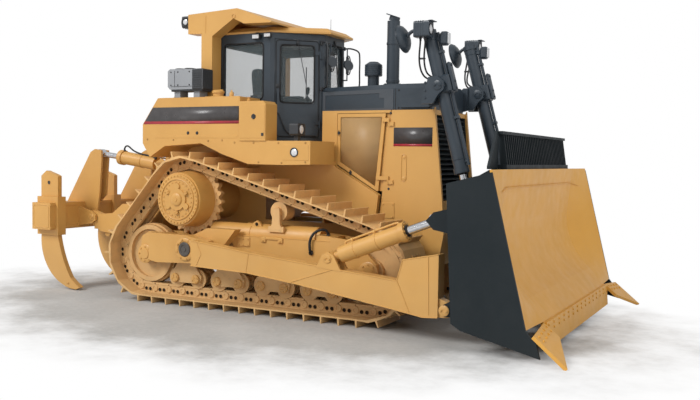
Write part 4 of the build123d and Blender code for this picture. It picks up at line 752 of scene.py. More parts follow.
for sideName, turn in sideTurns:
    addPiece("doorLatches." + sideName, turn(repeated(latch, doorLatches)), "darkBolt",
             "engine_door_" + sideName)
    addPiece("doorScreen." + sideName, turn(screen), "punchedSheet", "engine_door_" + sideName, smooth=False)

# small bolts along the fender's upper flange and round the arch
fenderSpots = ((-1.76, 2.245), (-1.30, 2.238), (-0.711, 2.226), (-0.481, 2.234), (-0.28, 2.205),
               (0.02, 2.205), (0.40, 2.205), (0.80, 2.205), (0.80, 1.965), (0.45, 1.950), (0.10, 1.955))
addPair("fenderBolts", boltsAt([(x, -face, z) for x, z in fenderSpots], 0.011, 0.009, right), "boltPaint")

# the guard's grip pocket as a pressed rim, and the bolted cover below it
gripRim = rimTube((1.815, -guard - 0.001, 1.740), (0.066, 0.340), 0.032, 0.006)
gripEnds = together(*[turnedShape([(wide, -0.001), (wide, 0.005), (narrow, 0.008), (0.001, 0.008)],
                                  (1.848, -guard, z), right, 18)
                      for wide, narrow, z in ((0.020, 0.013, 2.045), (0.024, 0.016, 1.775))])
cover = box((1.548, -guard - 0.008, 1.262), (1.728, -guard + 0.002, 1.465), 0.008)
coverSpots = [(x, -guard - 0.008, z) for x in (1.572, 1.704) for z in (1.286, 1.441)]
coverBolts = boltsAt(coverSpots, 0.010, 0.008, right)
guardSeam = weld([(1.54, -guard, 1.20), (1.512, -guard, 0.98), (1.508, -guard, 0.72), (2.31, -guard, 0.72)],
                 0.006)
addPair("guardFittings", together(gripRim, gripEnds, cover, coverBolts, guardSeam), "bodyPaint")

# filler cap, breather and lifting eyes on the tank's top
tankTop = 2.805
filler = together(
    turnedShape([(0.095, -0.002), (0.095, 0.016), (0.070, 0.022), (0.070, 0.058), (0.082, 0.060),
                 (0.082, 0.086), (0.072, 0.094), (0.030, 0.094), (0.026, 0.100), (0.001, 0.100)],
                (-0.640, -1.130, tankTop), upward, 28),
    box((-0.716, -1.142, tankTop + 0.088), (-0.564, -1.118, tankTop + 0.106), 0.006),
    boltsAt(boltCircle((-0.640, -1.130, tankTop + 0.016), 0.083, 6, upward), 0.008, 0.007, upward))
fillerPlate = box((-0.800, -1.225, tankTop - 0.002), (-0.500, -1.020, tankTop + 0.012), 0.006)
gauge = turnedShape([(0.030, -0.002), (0.030, 0.050), (0.022, 0.066), (0.012, 0.070), (0.010, 0.092),
                     (0.001, 0.092)], (-0.400, -1.160, tankTop), upward, 18)
boxKnob = turnedShape([(0.026, -0.002), (0.026, 0.020), (0.016, 0.028), (0.016, 0.048), (0.022, 0.056),
                       (0.001, 0.060)], (-0.110, -1.180, 2.740), upward, 18)
addPiece("tankFittings", together(filler, fillerPlate, gauge, bothSides(boxKnob)), "bodyPaint")
liftEye = together(
    prism([(-1.520, tankTop - 0.002), (-1.340, tankTop - 0.002), (-1.370, 2.850), (-1.400, 2.872),
           (-1.460, 2.872), (-1.490, 2.850)], -1.010, -0.990),
    rimTube((-1.462, -1.0, 2.818), (0.064, 0.040), 0.019, 0.007))
tankSeam = weld([(-1.560, -1.240, tankTop), (-0.210, -1.240, tankTop)], 0.006)
rearSeam = weld([(-1.577, -1.240, tankTop), (-1.577, 1.240, tankTop)], 0.006)
addPiece("tankSeams", together(bothSides(together(liftEye, tankSeam)), rearSeam), "bodyPaint")
print("sides dressed")


# hood: raised border round the dark side panel, rear seam, latches; bands on the stack
hoodLook = {"rear": (0.500, 0.320), "front": (1.690, 0.550), "rise": 0.006}
(hoodRearX, hoodRearY), (hoodFrontX, hoodFrontY) = hoodLook["rear"], hoodLook["front"]


# a strip on the hood's slanted side: shares of the side's length and two heights, standing out by a rise
def hoodStrip(shareLow, shareHigh, low, high, rise):
    share = np.array([shareLow, shareHigh, shareHigh, shareLow])
    x = hoodRearX + share * (hoodFrontX - hoodRearX)
    y = -hoodRearY - share * (hoodFrontY - hoodRearY)
    z = np.array([low, low, high, high])
    out = np.array([hoodRearY - hoodFrontY, -(hoodFrontX - hoodRearX), 0])
    out = out / np.linalg.norm(out)
    inner = np.stack([x, y, z], -1) - out * 0.003
    outer = np.stack([x, y, z], -1) + out * rise
    points = np.concatenate([inner, outer])
    faces = np.array([[4, 5, 6, 7], [0, 1, 5, 4], [1, 2, 6, 5], [2, 3, 7, 6], [3, 0, 4, 7], [3, 2, 1, 0]])
    return points, faces


rise = hoodLook["rise"]
strips = ((0.010, 0.985, 2.862, 2.912), (0.010, 0.985, 2.644, 2.672), (0.865, 0.985, 2.672, 2.862),
          (0.010, 0.050, 2.672, 2.862), (0.800, 0.865, 2.800, 2.862))
addPair("hoodBorders", together(*[hoodStrip(*strip, rise) for strip in strips]), "slateLight", hardAngle=20)
sideSeam = prism([(1.696, 2.645), (1.704, 2.645), (1.704, 2.912), (1.696, 2.912)], -0.5525, -0.5485)
hoodBolts = boltsAt([(x, -0.550, z) for x in (1.745, 2.160) for z in (2.668, 2.890)], 0.009, 0.007, right)
addPair("hoodSeams", together(sideSeam, hoodBolts), "sealRubber", slotName="dark_paint")
stackX, cleanerX = 1.400, 1.110
stackBands = [bandRing(0.084, 0.092, 0.016, 0.002, (stackX, 0, z), upward, 32) for z in (3.060, 3.560)]
stackBolts = boltsAt(boltCircle((stackX, 0, 3.020), 0.106, 8, upward), 0.010, 0.010, upward)
cleanerRibs = [bandRing(0.117, 0.122, 0.005, 0.002, (cleanerX, 0, z), upward, 36)
               for z in (3.160, 3.185, 3.210, 3.235, 3.260)]
addPiece("stackBands", together(*stackBands, stackBolts, *cleanerRibs), "slatePaint")
print("hood dressed")


# cab: rubber seals round the panes
cabLook = {"cornerX": -0.050, "frontX": 0.500, "half": 0.780, "nose": 0.280, "seal": 0.011,
           "doorMargin": 0.062, "play": 0.006}
doorAlong = np.array([cabLook["cornerX"] - cabLook["frontX"], cabLook["nose"] - cabLook["half"], 0.0])
doorLength = float(np.linalg.norm(doorAlong))
doorAlong = doorAlong / doorLength
doorOut = np.array([-doorAlong[1], doorAlong[0], 0.0])
doorOut = doorOut * np.sign(-doorOut[1])
doorCorner = np.array([cabLook["frontX"], -cabLook["nose"], 0.0])


# a place in the right door's plane: distance from the front corner, height, and distance out
def onDoor(along, height, out=0.0):
    return doorCorner + doorAlong * along + doorOut * out + np.array([0, 0, height])


leafStart = cabLook["doorMargin"] + cabLook["play"]
leafEnd = doorLength - leafStart
paneStart, paneEnd, paneLow, paneHigh = leafStart + 0.070, leafEnd - 0.070, 2.760, 3.534
seal = cabLook["seal"]
doorSeal = rimTube(onDoor(paneStart, paneLow, 0.001), (paneEnd - paneStart, paneHigh - paneLow), 0.050, seal,
                   across=doorAlong)
sidePane = rimTube((-0.810, -0.781, 2.800), (0.650, 0.760), 0.060, seal)
frontPane = rimTube((0.501, -0.218, 2.720), (0.436, 0.860), 0.045, seal, across=left)
rearPane = rimTube((-0.951, -0.670, 2.800), (1.340, 0.760), 0.060, seal, across=left)
addPiece("paneSeals", together(bothSides(sidePane), frontPane, rearPane), "sealRubber")

# door: seal, rim, grab rail, lock and wiper
railSteps = ((0.040, 2.640, 0.016), (0.060, 2.590, 0.030), (0.130, 2.420, 0.030), (0.200, 2.345, 0.030),
             (0.330, 2.325, 0.030))
lowerRail = tube(curvePath([*[onDoor(leafEnd - back, z, out) for back, z, out in railSteps],
                            onDoor(leafStart + 0.050, 2.322, 0.016)], 48), 0.009, 10)
doorRim = rimTube(onDoor(leafStart + 0.012, 2.306, 0.0005), (leafEnd - leafStart - 0.024, 1.288), 0.045,
                  0.006, 6, across=doorAlong)
lockPlace = onDoor(leafEnd - 0.037, 2.980)
lock = together(
    turnedShape([(0.030, -0.002), (0.030, 0.006), (0.024, 0.012), (0.001, 0.012)], lockPlace, doorOut, 18),
    turnedShape([(0.012, 0.000), (0.012, 0.020), (0.009, 0.023), (0.001, 0.023)], lockPlace, doorOut, 12))
wiperPivot = onDoor((paneStart + paneEnd) / 2, paneHigh + 0.030, 0.012)
wiperTip = onDoor((paneStart + paneEnd) / 2 - 0.120, paneLow + 0.250, 0.018)
wiperBend = wiperPivot * 0.4 + wiperTip * 0.6 + doorOut * 0.014
wiper = together(
    turnedShape([(0.024, -0.012), (0.024, 0.012), (0.018, 0.018), (0.001, 0.018)], wiperPivot, doorOut, 16),
    tube([wiperPivot + doorOut * 0.014, wiperBend, wiperTip], 0.005, 8),
    tube([wiperTip + np.array([0, 0, 0.230]), wiperTip + np.array([0, 0, -0.200])], 0.006, 6))
for sideName, turn in sideTurns:
    addPiece("doorRubber." + sideName, turn(together(doorSeal, doorRim)), "sealRubber",
             "cab_door_" + sideName)
    addPiece("doorFittings." + sideName, turn(together(lowerRail, lock, wiper)), "trimPlastic",
             "cab_door_" + sideName)

# windshield wiper, short antenna, roof bolts and the lamps under the eaves
frontWiper = together(
    turnedShape([(0.024, -0.010), (0.024, 0.014), (0.001, 0.014)], (0.502, 0.0, 3.620), forward, 16),
    tube([(0.518, 0.0, 3.620), (0.520, 0.060, 3.180)], 0.005, 8),
    tube([(0.514, 0.020, 3.420), (0.514, 0.085, 2.960)], 0.006, 6))
antenna = together(
    turnedShape([(0.018, -0.002), (0.018, 0.018), (0.008, 0.034), (0.001, 0.036)], (0.300, 0.240, 3.774),
                upward, 14),
    tube([(0.300, 0.240, 3.800), (0.301, 0.240, 3.992)], [0.0035, 0.0025], 8))
roofBolts = boltsAt([(x, y, 3.803) for x in (0.155, 0.355) for y in (-0.125, 0.125)], 0.009, 0.008, upward)
addPiece("roofFittings", together(frontWiper, antenna), "trimPlastic")
addPiece("roofBolts", roofBolts, "boltPaint")
visorLamp = together(
    box((-0.310, -0.842, 3.600), (-0.190, -0.782, 3.668), 0.014),
    box((-0.275, -0.800, 3.660), (-0.225, -0.784, 3.694), 0.004),
    box((-0.110, -0.856, 3.612), (0.000, -0.800, 3.672), 0.014))
addPair("eavesLamps", visorLamp, "trimPlastic")
visorLens = together(box((-0.302, -0.846, 3.608), (-0.198, -0.838, 3.660), 0.006),
                     box((-0.102, -0.860, 3.620), (-0.008, -0.852, 3.664), 0.006))
addPair("eavesLenses", visorLens, "lampGlass")

# roll-over frame: foot bolts, weld seams and a lifting eye
footSpots = [(x, -1.000, z) for x in (-1.050, -0.950, -0.850) for z in (2.850, 2.930)]
footBolts = boltsAt(footSpots, 0.016, 0.016, right)
legSeam = together(
    weld([(-1.090, -1.000, 2.840), (-0.850, -1.000, 2.840)], 0.007),
    weld([(-1.255, -1.000, 3.705), (-1.035, -1.000, 3.695)], 0.007),
    weld([(-0.960, -1.000, 3.930), (-0.960, -1.000, 3.700)], 0.006))
towerEye = rimTube((-0.520, -1.002, 3.870), (0.052, 0.052), 0.024, 0.006)
addPair("rolloverSeams", together(footBolts, legSeam, towerEye), "bodyPaint")

# mirrors: glass on the back face of each disc, a rim and clamps on the bracket
mirrorX, mirrorY, mirrorZ = 0.575, -0.235, 3.330
turn = np.linspace(0, 2 * np.pi, 33)[:-1]
rimPath = np.stack([np.full(32, mirrorX + 0.020), mirrorY + 0.071 * np.cos(turn),
                    mirrorZ + 0.131 * np.sin(turn)], -1)
rings = np.array([1.0, 0.93, 0.001])[:, None]
lift = np.array([0.0085, 0.0060, 0.0055])[:, None]
glassPoints = np.stack([np.broadcast_to(mirrorX + lift, (3, 32)), mirrorY + 0.064 * rings * np.cos(turn),
                        mirrorZ + 0.124 * rings * np.sin(turn)], -1).reshape(-1, 3)
mirrorGlass = (glassPoints, gridFaces(3, 32, False, True))
clamps = together(*[bandRing(0.0095, 0.016, 0.022, 0.002, (mirrorX, mirrorY, z), upward, 16)
                    for z in (3.230, 3.430)])
addPair("mirrorRims", together(tube(rimPath, 0.008, 8, closed=True), clamps), "trimPlastic")
addPair("mirrorFaces", mirrorGlass, "mirrorGlass")
print("cab dressed")


# lamps: bezel ring and domed lens in each housing's face, guard wires on the rear lamps
lampLook = {"lens": 0.058, "rearLens": 0.062}


# a lens with its bezel: a shallow dome of revolution about the way the lamp looks
def lampFace(place, way, radius):
    bezel = turnedShape([(radius + 0.003, -0.012), (radius + 0.012, 0.001), (radius + 0.010, 0.007),
                         (radius + 0.001, 0.006), (radius - 0.002, -0.004)], place, way, 32)
    share = np.array([1.0, 0.9, 0.7, 0.45, 0.2, 0.001])
    dome = turnedShape(np.stack([radius * share, -0.004 + 0.012 * (1 - share ** 2)], -1), place, way, 32)
    return bezel, dome


fenderBezel, fenderLens = lampFace((0.625, -1.060, 2.380), forward, lampLook["lens"])
rearBezel, rearLens = lampFace((-1.405, -0.880, 3.880), backward, lampLook["rearLens"])
workBezel, workLens = lampFace((2.307, -0.8855, 3.577), forward, lampLook["lens"])
insetBezel, insetLens = lampFace((0.640, -1.262, 2.085), right, 0.048)
insetPlate = box((0.470, -1.259, 1.985), (0.850, -1.252, 2.180), 0.004)
guardTurn = np.linspace(0.15, np.pi - 0.15, 17)
guards = together(*[tube(np.stack([-1.395 - 0.048 * np.sin(guardTurn), np.full(17, -0.880 + shift),
                                   3.880 + 0.082 * np.cos(guardTurn)], -1), 0.004, 6)
                    for shift in (-0.040, 0.0, 0.040)])
addPair("lampBezels", together(fenderBezel, rearBezel, insetBezel, guards), "trimPlastic")
addPair("lampRecesses", insetPlate, "bodyPaint")
addPair("lampLenses", together(fenderLens, rearLens, insetLens), "lampGlass")
addPair("workLampBezels", workBezel, "trimPlastic", "lift_barrels")
addPair("workLampLenses", workLens, "lampGlass", "lift_barrels")
print("lamps dressed")


# lift cylinders: places are (ahead of the axis, y, above the trunnion along the axis)
liftLook = {"pin": (2.390, 0.0, 2.910), "eye": (2.993, 0.0, 0.690), "y": -0.720, "head": 0.690,
            "foot": -1.085, "collarHalf": 0.085}
liftPin = np.array(liftLook["pin"])
liftUp = liftPin - np.array(liftLook["eye"])
liftUp = liftUp / np.linalg.norm(liftUp)
liftAhead = np.array([liftUp[2], 0.0, -liftUp[0]])
liftWays = np.stack([liftAhead, left, liftUp])


# a shape made beside the cylinder's axis, turned to lie along it
def onLift(shape):
    return shape[0] @ liftWays + liftPin, shape[1]


def liftPoint(ahead, y, above):
    return np.array([ahead, y, above]) @ liftWays + liftPin


liftY, collarHalf = liftLook["y"], liftLook["collarHalf"]
collar = onLift(box((-0.100, liftY - collarHalf, -0.112), (0.144, liftY + collarHalf, 0.112), 0.020))
frontBar = onLift(box((0.142, liftY - 0.052, -0.110), (0.182, liftY + 0.052, 0.250), 0.012))
barBolts = onLift(boltsAt([(0.182, liftY, h) for h in (-0.075, 0.010, 0.210)], 0.013, 0.012, forward))
liftHead, liftFoot = liftPoint(0, liftY, liftLook["head"]), liftPoint(0, liftY, liftLook["foot"])
headBolts = boltsAt(boltCircle(liftHead, 0.060, 6, liftUp), 0.012, 0.012, liftUp)
footBoltsRing = boltsAt(boltCircle(liftFoot, 0.074, 10, liftUp), 0.010, 0.010, -liftUp)
wiperRing = turnedShape([(0.0425, 0.000), (0.052, -0.001), (0.058, 0.010), (0.058, 0.020), (0.0425, 0.026)],
                        liftPoint(0, liftY, liftLook["foot"] - 0.020), liftUp, 30)
barrelSeams = together(*[bandRing(0.0815, 0.0865, 0.006, 0.004, liftPoint(0, liftY, h), liftUp, 32)
                         for h in (0.560, -0.920)])
pipeClamps = together(*[onLift(box((0.070, liftY - 0.034, h - 0.020), (0.131, liftY + 0.034, h + 0.020),
                                   0.006)) for h in (0.400, -0.420)])
collarParts = together(collar, frontBar, barBolts, headBolts, footBoltsRing, barrelSeams, pipeClamps)
addPair("liftCollars", collarParts, "slatePaint", "lift_barrels")
addPair("liftWipers", wiperRing, "sealRubber", "lift_barrels", slotName="black_paint")
trunnionEnds = together(pinEnd((2.390, -0.860, 2.910), right, 0.060),
                        pinEnd((2.390, -0.580, 2.910), left, 0.060),
                        boltsAt([(2.470, y, 2.905) for y in (-0.840, -0.600)], 0.013, 0.012, forward),
                        boltsAt([(2.235, -0.860, z) for z in (2.760, 2.850, 2.940)], 0.013, 0.012, right))
addPair("yokeBolts", trunnionEnds, "slatePaint")

# lamps at the cylinder heads: a round one that looks back, a square one that looks ahead
backLamp = {"ahead": -0.273, "y": -0.885, "above": 0.665, "radius": 0.168}
backAxis = -liftAhead
backY, radius = backLamp["y"], backLamp["radius"]
backPlace = liftPoint(backLamp["ahead"], backY, backLamp["above"])
backBowl = turnedShape([(0.001, -0.060), (0.050, -0.058), (0.112, -0.044), (0.152, -0.018), (radius, 0.006),
                        (radius + 0.003, 0.030), (radius - 0.008, 0.036), (radius - 0.018, 0.026)], backPlace,
                       backAxis, 40)
share = np.array([1.0, 0.92, 0.75, 0.5, 0.25, 0.001])
backLens = turnedShape(np.stack([(radius - 0.017) * share, 0.026 + 0.016 * (1 - share ** 2)], -1), backPlace,
                       backAxis, 40)
bowlRibs = together(*[turnedShape([(radius + 0.001, h - 0.003), (radius + 0.007, h),
                                   (radius + 0.001, h + 0.003)], backPlace, backAxis, 40)
                      for h in (0.012, 0.024)])
backArm = tube(curvePath([(2.120, backY, 3.570), (2.060, backY, 3.560), (2.010, backY, 3.520),
                          tuple(backPlace - backAxis * 0.050)], 14), 0.022, 12)
frontLow, frontHigh = (2.368, -0.786, 3.395), (2.478, -0.674, 3.560)
frontLamp = box(frontLow, frontHigh, 0.026)
frontArm = box((2.312, -0.748, 3.455), (2.374, -0.692, 3.500), 0.010)
visor = box((2.300, -0.964, 3.664), (2.352, -0.807, 3.674), 0.004)
housingRibs = together(*[box((x, -0.9635, 3.500), (x + 0.008, -0.8085, 3.6745), 0.003)
                         for x in (2.135, 2.165, 2.195, 2.225)])
lampParts = together(backBowl, bowlRibs, backArm, frontLamp, frontArm, visor, housingRibs)
addPair("cylinderLamps", lampParts, "slatePaint", "lift_barrels")
frontGlass = box((frontHigh[0] - 0.004, frontLow[1] + 0.014, frontLow[2] + 0.018),
                 (frontHigh[0] + 0.005, frontHigh[1] - 0.014, frontHigh[2] - 0.018), 0.004)
addPair("cylinderLenses", together(backLens, frontGlass), "lampGlass", "lift_barrels")

# hoses hang from each lamp housing to the collar; points are control points of one smooth line
hoseLook = {"diameter": 0.022, "pairs": {
    "outer": ((2.150, -0.835, 3.490), (2.148, -0.834, 3.410), (2.132, -0.822, 3.300), (2.124, -0.800, 3.190),
              (2.140, -0.772, 3.085), (2.190, -0.748, 3.005), (2.282, -0.742, 2.975)),
    "inner": ((2.215, -0.835, 3.490), (2.212, -0.832, 3.420), (2.194, -0.812, 3.325), (2.178, -0.780, 3.225),
              (2.176, -0.738, 3.125), (2.205, -0.706, 3.045), (2.285, -0.698, 3.010))}}


# a hose as a curve of one NURBS spline with a round section; returns the object and its own length
def hoseCurve(name, points, diameter, body):
    curve = bpy.data.curves.new(name, "CURVE")
    curve.dimensions = "3D"
    curve.bevel_depth = diameter / 2
    curve.bevel_resolution = 4
    curve.use_fill_caps = True
    curve.resolution_u = 16
    spline = curve.splines.new("NURBS")
    spline.points.add(len(points) - 1)
    places = np.asarray(points, float) - np.array([originShift, 0, 0])
    weighted = np.column_stack([places, np.ones(len(points))])
    spline.points.foreach_set("co", weighted.astype(np.float32).ravel())
    spline.order_u = 3
    spline.use_endpoint_u = True
    curve.materials.append(finish["sealRubber"])
    hose = bpy.data.objects.new(name, curve)
    bpy.context.scene.collection.objects.link(hose)
    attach(hose, body)
    return hose, spline.calc_length(resolution=64), tuple(places[0])


# a hose along the route, with y times the sign, drawn through its points; its length is printed
def addHose(name, route, sign, diameter, body):
    hose, length, exitPlace = hoseCurve(name, [(x, sign * y, z) for x, y, z in route], diameter, body)
    print("hose", name, round(length, 3))


hoseSides = (("right", 1), ("left", -1))
for sideName, sign in hoseSides:
    for hoseName, route in hoseLook["pairs"].items():
        addHose(f"liftHose.{hoseName}.{sideName}", route, sign, hoseLook["diameter"], "lift_barrels")
hoseEnds = together(*[turnedShape([(0.011, -0.004), (0.017, 0.0), (0.017, 0.018), (0.0135, 0.022),
                                   (0.0135, 0.040), (0.0105, 0.044)], route[0], (0, 0, -1), 14)
                      for route in hoseLook["pairs"].values()])
hoseTie = box((2.120, -0.812, 3.232), (2.198, -0.772, 3.252), 0.005)
addPair("hoseFerrules", together(hoseEnds, hoseTie), "darkBolt", "lift_barrels")
print("lift cylinders dressed")


# tilt cylinders: an oil line along the top, clamps, a bolted gland
tiltRear, tiltEye = np.array([1.443, -1.700, 0.849]), np.array([2.754, -1.700, 1.353])
tiltAlong = (tiltEye - tiltRear) / np.linalg.norm(tiltEye - tiltRear)
tiltOver = np.array([-tiltAlong[2], 0, tiltAlong[0]])


def tiltPoint(distance, over, sideways=0.0):
    return tiltRear + tiltAlong * distance + tiltOver * over + np.array([0, sideways, 0])


tiltLine = together(
    tube([tiltPoint(0.235, 0.088), tiltPoint(0.240, 0.118), tiltPoint(0.262, 0.126), tiltPoint(0.600, 0.126),
          tiltPoint(0.920, 0.126), tiltPoint(0.958, 0.120), tiltPoint(0.972, 0.088)], 0.013, 12),
    *[bandRing(0.0975, 0.104, 0.018, 0.002, tiltPoint(d, 0), tiltAlong, 36) for d in (0.340, 0.640)],
    *[bandRing(0.001, 0.026, 0.012, 0, tiltPoint(d, 0.118), tiltAlong, 12) for d in (0.340, 0.640)],
    boltsAt(boltCircle(tiltPoint(1.030, 0), 0.088, 10, tiltAlong), 0.012, 0.012, tiltAlong))
addPair("tiltLines", tiltLine, "bodyPaint", "tilt_barrels")
tiltWiper = turnedShape([(0.052, -0.004), (0.066, -0.004), (0.066, 0.012), (0.058, 0.020), (0.052, 0.020)],
                        tiltPoint(1.034, 0), tiltAlong, 30)
addPair("tiltWipers", tiltWiper, "sealRubber", "tilt_barrels", slotName="black_paint")
print("tilt cylinders dressed")


# padded shape: x, y and z each follow a power of sine and cosine of two angles, so it is crowned and round
def padShape(low, high, power=0.34, channels=(), depth=0.010, lean=0.0, steps=(48, 72)):
    low, high = np.asarray(low, float), np.asarray(high, float)
    middle, half = (low + high) / 2, (high - low) / 2
    v = np.linspace(-np.pi / 2, np.pi / 2, steps[0])[:, None]
    u = np.linspace(0, 2 * np.pi, steps[1], endpoint=False)[None, :]
    bent = lambda value, p: np.sign(value) * np.abs(value) ** p
    around = np.maximum(bent(np.cos(v), power), 0.0)
    x = half[0] * around * bent(np.cos(u), power)
    y = half[1] * around * bent(np.sin(u), power)
    z = half[2] * bent(np.sin(v), power) + 0 * u
    crown = 1 + 0.10 * (1 - (x / half[0]) ** 2) * (1 - (y / half[1]) ** 2)
    z = z * crown / 1.10
    for place in channels:
        z = z - np.sign(z) * depth * np.exp(-((y - place) / 0.009) ** 2) * (np.abs(z) > 0.4 * half[2])
    x = x + lean * z
    return np.stack([x, y, z], -1).reshape(-1, 3) + middle, gridFaces(steps[0], steps[1], False, True)


# seat cloth: two fine waves crossed as a weave, a slow change of shade and a soft sheen
def clothFinish(name, colour, pitch=0.006):
    material, tree, shader = newMaterial(name)
    point = objectPoint(tree)
    rate = 2 * math.pi / pitch
    waves = [mathNode(tree, "SINE", mathNode(tree, "MULTIPLY", axesOf(tree, point)[axis], rate))
             for axis in ("Y", "Z")]
    weave = mathNode(tree, "MULTIPLY", *waves)
    broad = noise(tree, point, 6.0, 4)
    shade = mixColour(tree, remap(tree, broad, 0.3, 0.7), colour, tuple(c * 0.7 for c in colour))
    pale = tuple(min(c * 1.5, 1.0) for c in colour)
    feed(tree, shader, {"Base Color": mixColour(tree, remap(tree, weave, 0.1, 0.9, 0.0, 0.5), shade, pale),
                        "Roughness": 0.86, "Sheen Weight": 0.25})
    bump(tree, shader, weave, 0.25, 0.0008)
    return material


finish["seatCloth"] = clothFinish("seatCloth", (0.045, 0.060, 0.075))
seatX, cabFloor = -0.430, 2.245
cushion = padShape((seatX - 0.235, -0.248, cabFloor + 0.335), (seatX + 0.250, 0.248, cabFloor + 0.452),
                   channels=(-0.150, -0.050, 0.050, 0.150))
seatBack = padShape((-0.325, -0.228, -0.055), (0.325, 0.228, 0.055), channels=(-0.140, 0.140))
lean = np.array([-0.070, 0.0, 0.650])
lean = lean / np.linalg.norm(lean)
backWays = np.stack([lean, left, [lean[2], 0, -lean[0]]])
seatBack = (seatBack[0] @ backWays + np.array([seatX - 0.248, 0, cabFloor + 0.725]), seatBack[1])
for name, shape in (("seatCushion", cushion), ("seatBack", seatBack)):
    pad = addPiece(name, shape, "seatCloth", hardAngle=80)
    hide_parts("seat")
bellows = together(*[turnedShape([(0.120, h), (0.175, h + 0.020), (0.120, h + 0.040)],
                                 (seatX, 0, cabFloor + 0.085), upward, 36)
                     for h in (0.0, 0.040, 0.080, 0.120, 0.160)])
seatFoot = box((seatX - 0.190, -0.190, cabFloor + 0.040), (seatX + 0.170, 0.190, cabFloor + 0.095), 0.012)
seatPan = box((seatX - 0.210, -0.205, cabFloor + 0.285), (seatX + 0.200, 0.205, cabFloor + 0.338), 0.016)
seatBase = together(seatFoot, bellows, seatPan)
basePiece = addPiece("seatBase", seatBase, "trimPlastic", slotName="seat_fabric")
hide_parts("seat")
for sideName, sign in (("right", -1), ("left", 1)):
    low, high = sorted((sign * 0.345, sign * 0.455))
    pad = addPiece("armPad." + sideName, padShape((-0.555, low, 2.883), (-0.250, high, 2.930)), "seatCloth",
                   hardAngle=80)

# levers on the armrests, a screen and gauges on the dash, pedals on the floor
gaiter = [(0.045, 0.000), (0.040, 0.008), (0.030, 0.022), (0.024, 0.024), (0.018, 0.040), (0.001, 0.042)]
grip = [(0.010, 0.000), (0.020, 0.012), (0.023, 0.045), (0.026, 0.080), (0.022, 0.105), (0.012, 0.114),
        (0.001, 0.116)]
lever = together(turnedShape(gaiter, (-0.170, -0.400, 2.884), upward, 20),
                 tube([(-0.170, -0.400, 2.915), (-0.166, -0.398, 2.955)], 0.008, 10),
                 turnedShape(grip, (-0.166, -0.398, 2.945), (0.12, 0, 1), 20))
screen = box((0.300, -0.150, 2.960), (0.340, 0.050, 3.090), 0.010)
screenFoot = box((0.330, -0.070, 2.930), (0.352, -0.030, 2.985), 0.004)
pedals = together(*[box((0.240, y - 0.045, 2.325), (0.262, y + 0.045, 2.440), 0.008)
                    for y in (-0.120, 0.0, 0.120)])
dashRows = together(*[turnedShape([(0.022, -0.002), (0.022, 0.004), (0.018, 0.006), (0.001, 0.006)],
                                  (0.332, y, 2.850), backward, 18)
                      for y in (-0.140, -0.070, 0.0, 0.070, 0.140)])
addPiece("cabControls", together(bothSides(lever), screen, screenFoot, pedals, dashRows), "trimPlastic")
glassPane = box((0.297, -0.140, 2.970), (0.301, 0.040, 3.080), 0.0015)
addPiece("dashScreen", glassPane, "bandDark")

# rails bent round the mirrors, from the cab's front posts
railPoints = [(0.480, -0.318, 3.575), (0.560, -0.385, 3.580), (0.640, -0.452, 3.540), (0.655, -0.465, 3.440),
              (0.655, -0.465, 3.250), (0.655, -0.465, 3.070), (0.630, -0.444, 2.985), (0.550, -0.376, 2.960),
              (0.480, -0.318, 2.960)]
rail = tube(curvePath(railPoints, 56), 0.011, 10)
railFeet = together(*[box((0.462, -0.336, z - 0.026), (0.500, -0.298, z + 0.026), 0.006)
                      for z in (3.575, 2.960)])
addPair("mirrorRails", together(rail, railFeet), "trimPlastic")
print("seat and controls made")


# air conditioner: black end block and tray, panel seams, two fan rings with guards
coolLook = {"x": (-1.410, -1.000, -0.820), "y": (-1.245, -1.015), "z": (2.920, 3.185)}
(rearX, splitX, frontX), (near, far), (coolLow, coolHigh) = coolLook["x"], coolLook["y"], coolLook["z"]
endBlock = box((splitX, near - 0.006, coolLow - 0.008), (frontX + 0.006, far + 0.006, coolHigh + 0.008),
               0.014)
tray = box((rearX + 0.050, near + 0.010, coolLow - 0.026), (frontX - 0.010, far - 0.010, coolLow + 0.004),
           0.006)
slats = together(*[box((splitX + 0.030, near - 0.011, z), (frontX - 0.024, near - 0.002, z + 0.012), 0.003)
                   for z in (2.950, 2.980, 3.010, 3.040, 3.070, 3.100, 3.130)])
addPiece("coolerEnd", together(endBlock, tray, slats), "trimPlastic", slotName="black_paint")
panelSpots = [(x, near, z) for x in (-1.355, -1.235, -1.040) for z in (2.980, 3.155)]
seams = together(tube([(rearX + 0.060, near - 0.001, 2.960), (splitX, near - 0.001, 2.960)], 0.003, 6),
                 tube([(-1.290, near - 0.001, 2.965), (-1.290, near - 0.001, 3.170)], 0.003, 6),
                 boltsAt(panelSpots, 0.008, 0.006, right))
addPiece("coolerSeams", seams, "darkBolt")
fans = []
for x in (-1.270, -1.110):
    centre = (x, (near + far) / 2, coolHigh + 0.012)
    fans.append(turnedShape([(0.078, -0.016), (0.082, 0.010), (0.076, 0.014), (0.070, 0.008),
                             (0.068, -0.012)], centre, upward, 32))
    fans += [turnedShape([(r, 0.008), (r + 0.003, 0.010), (r, 0.012)], centre, upward, 28)
             for r in (0.016, 0.032, 0.050)]
    fans += [tube([(x - 0.070 * math.cos(a), centre[1] - 0.070 * math.sin(a), centre[2] + 0.009),
                   (x + 0.070 * math.cos(a), centre[1] + 0.070 * math.sin(a), centre[2] + 0.009)], 0.0025, 6)
             for a in (0.0, math.pi / 3, 2 * math.pi / 3)]
addPiece("coolerFans", together(*fans), "darkBolt")
print("air conditioner dressed")


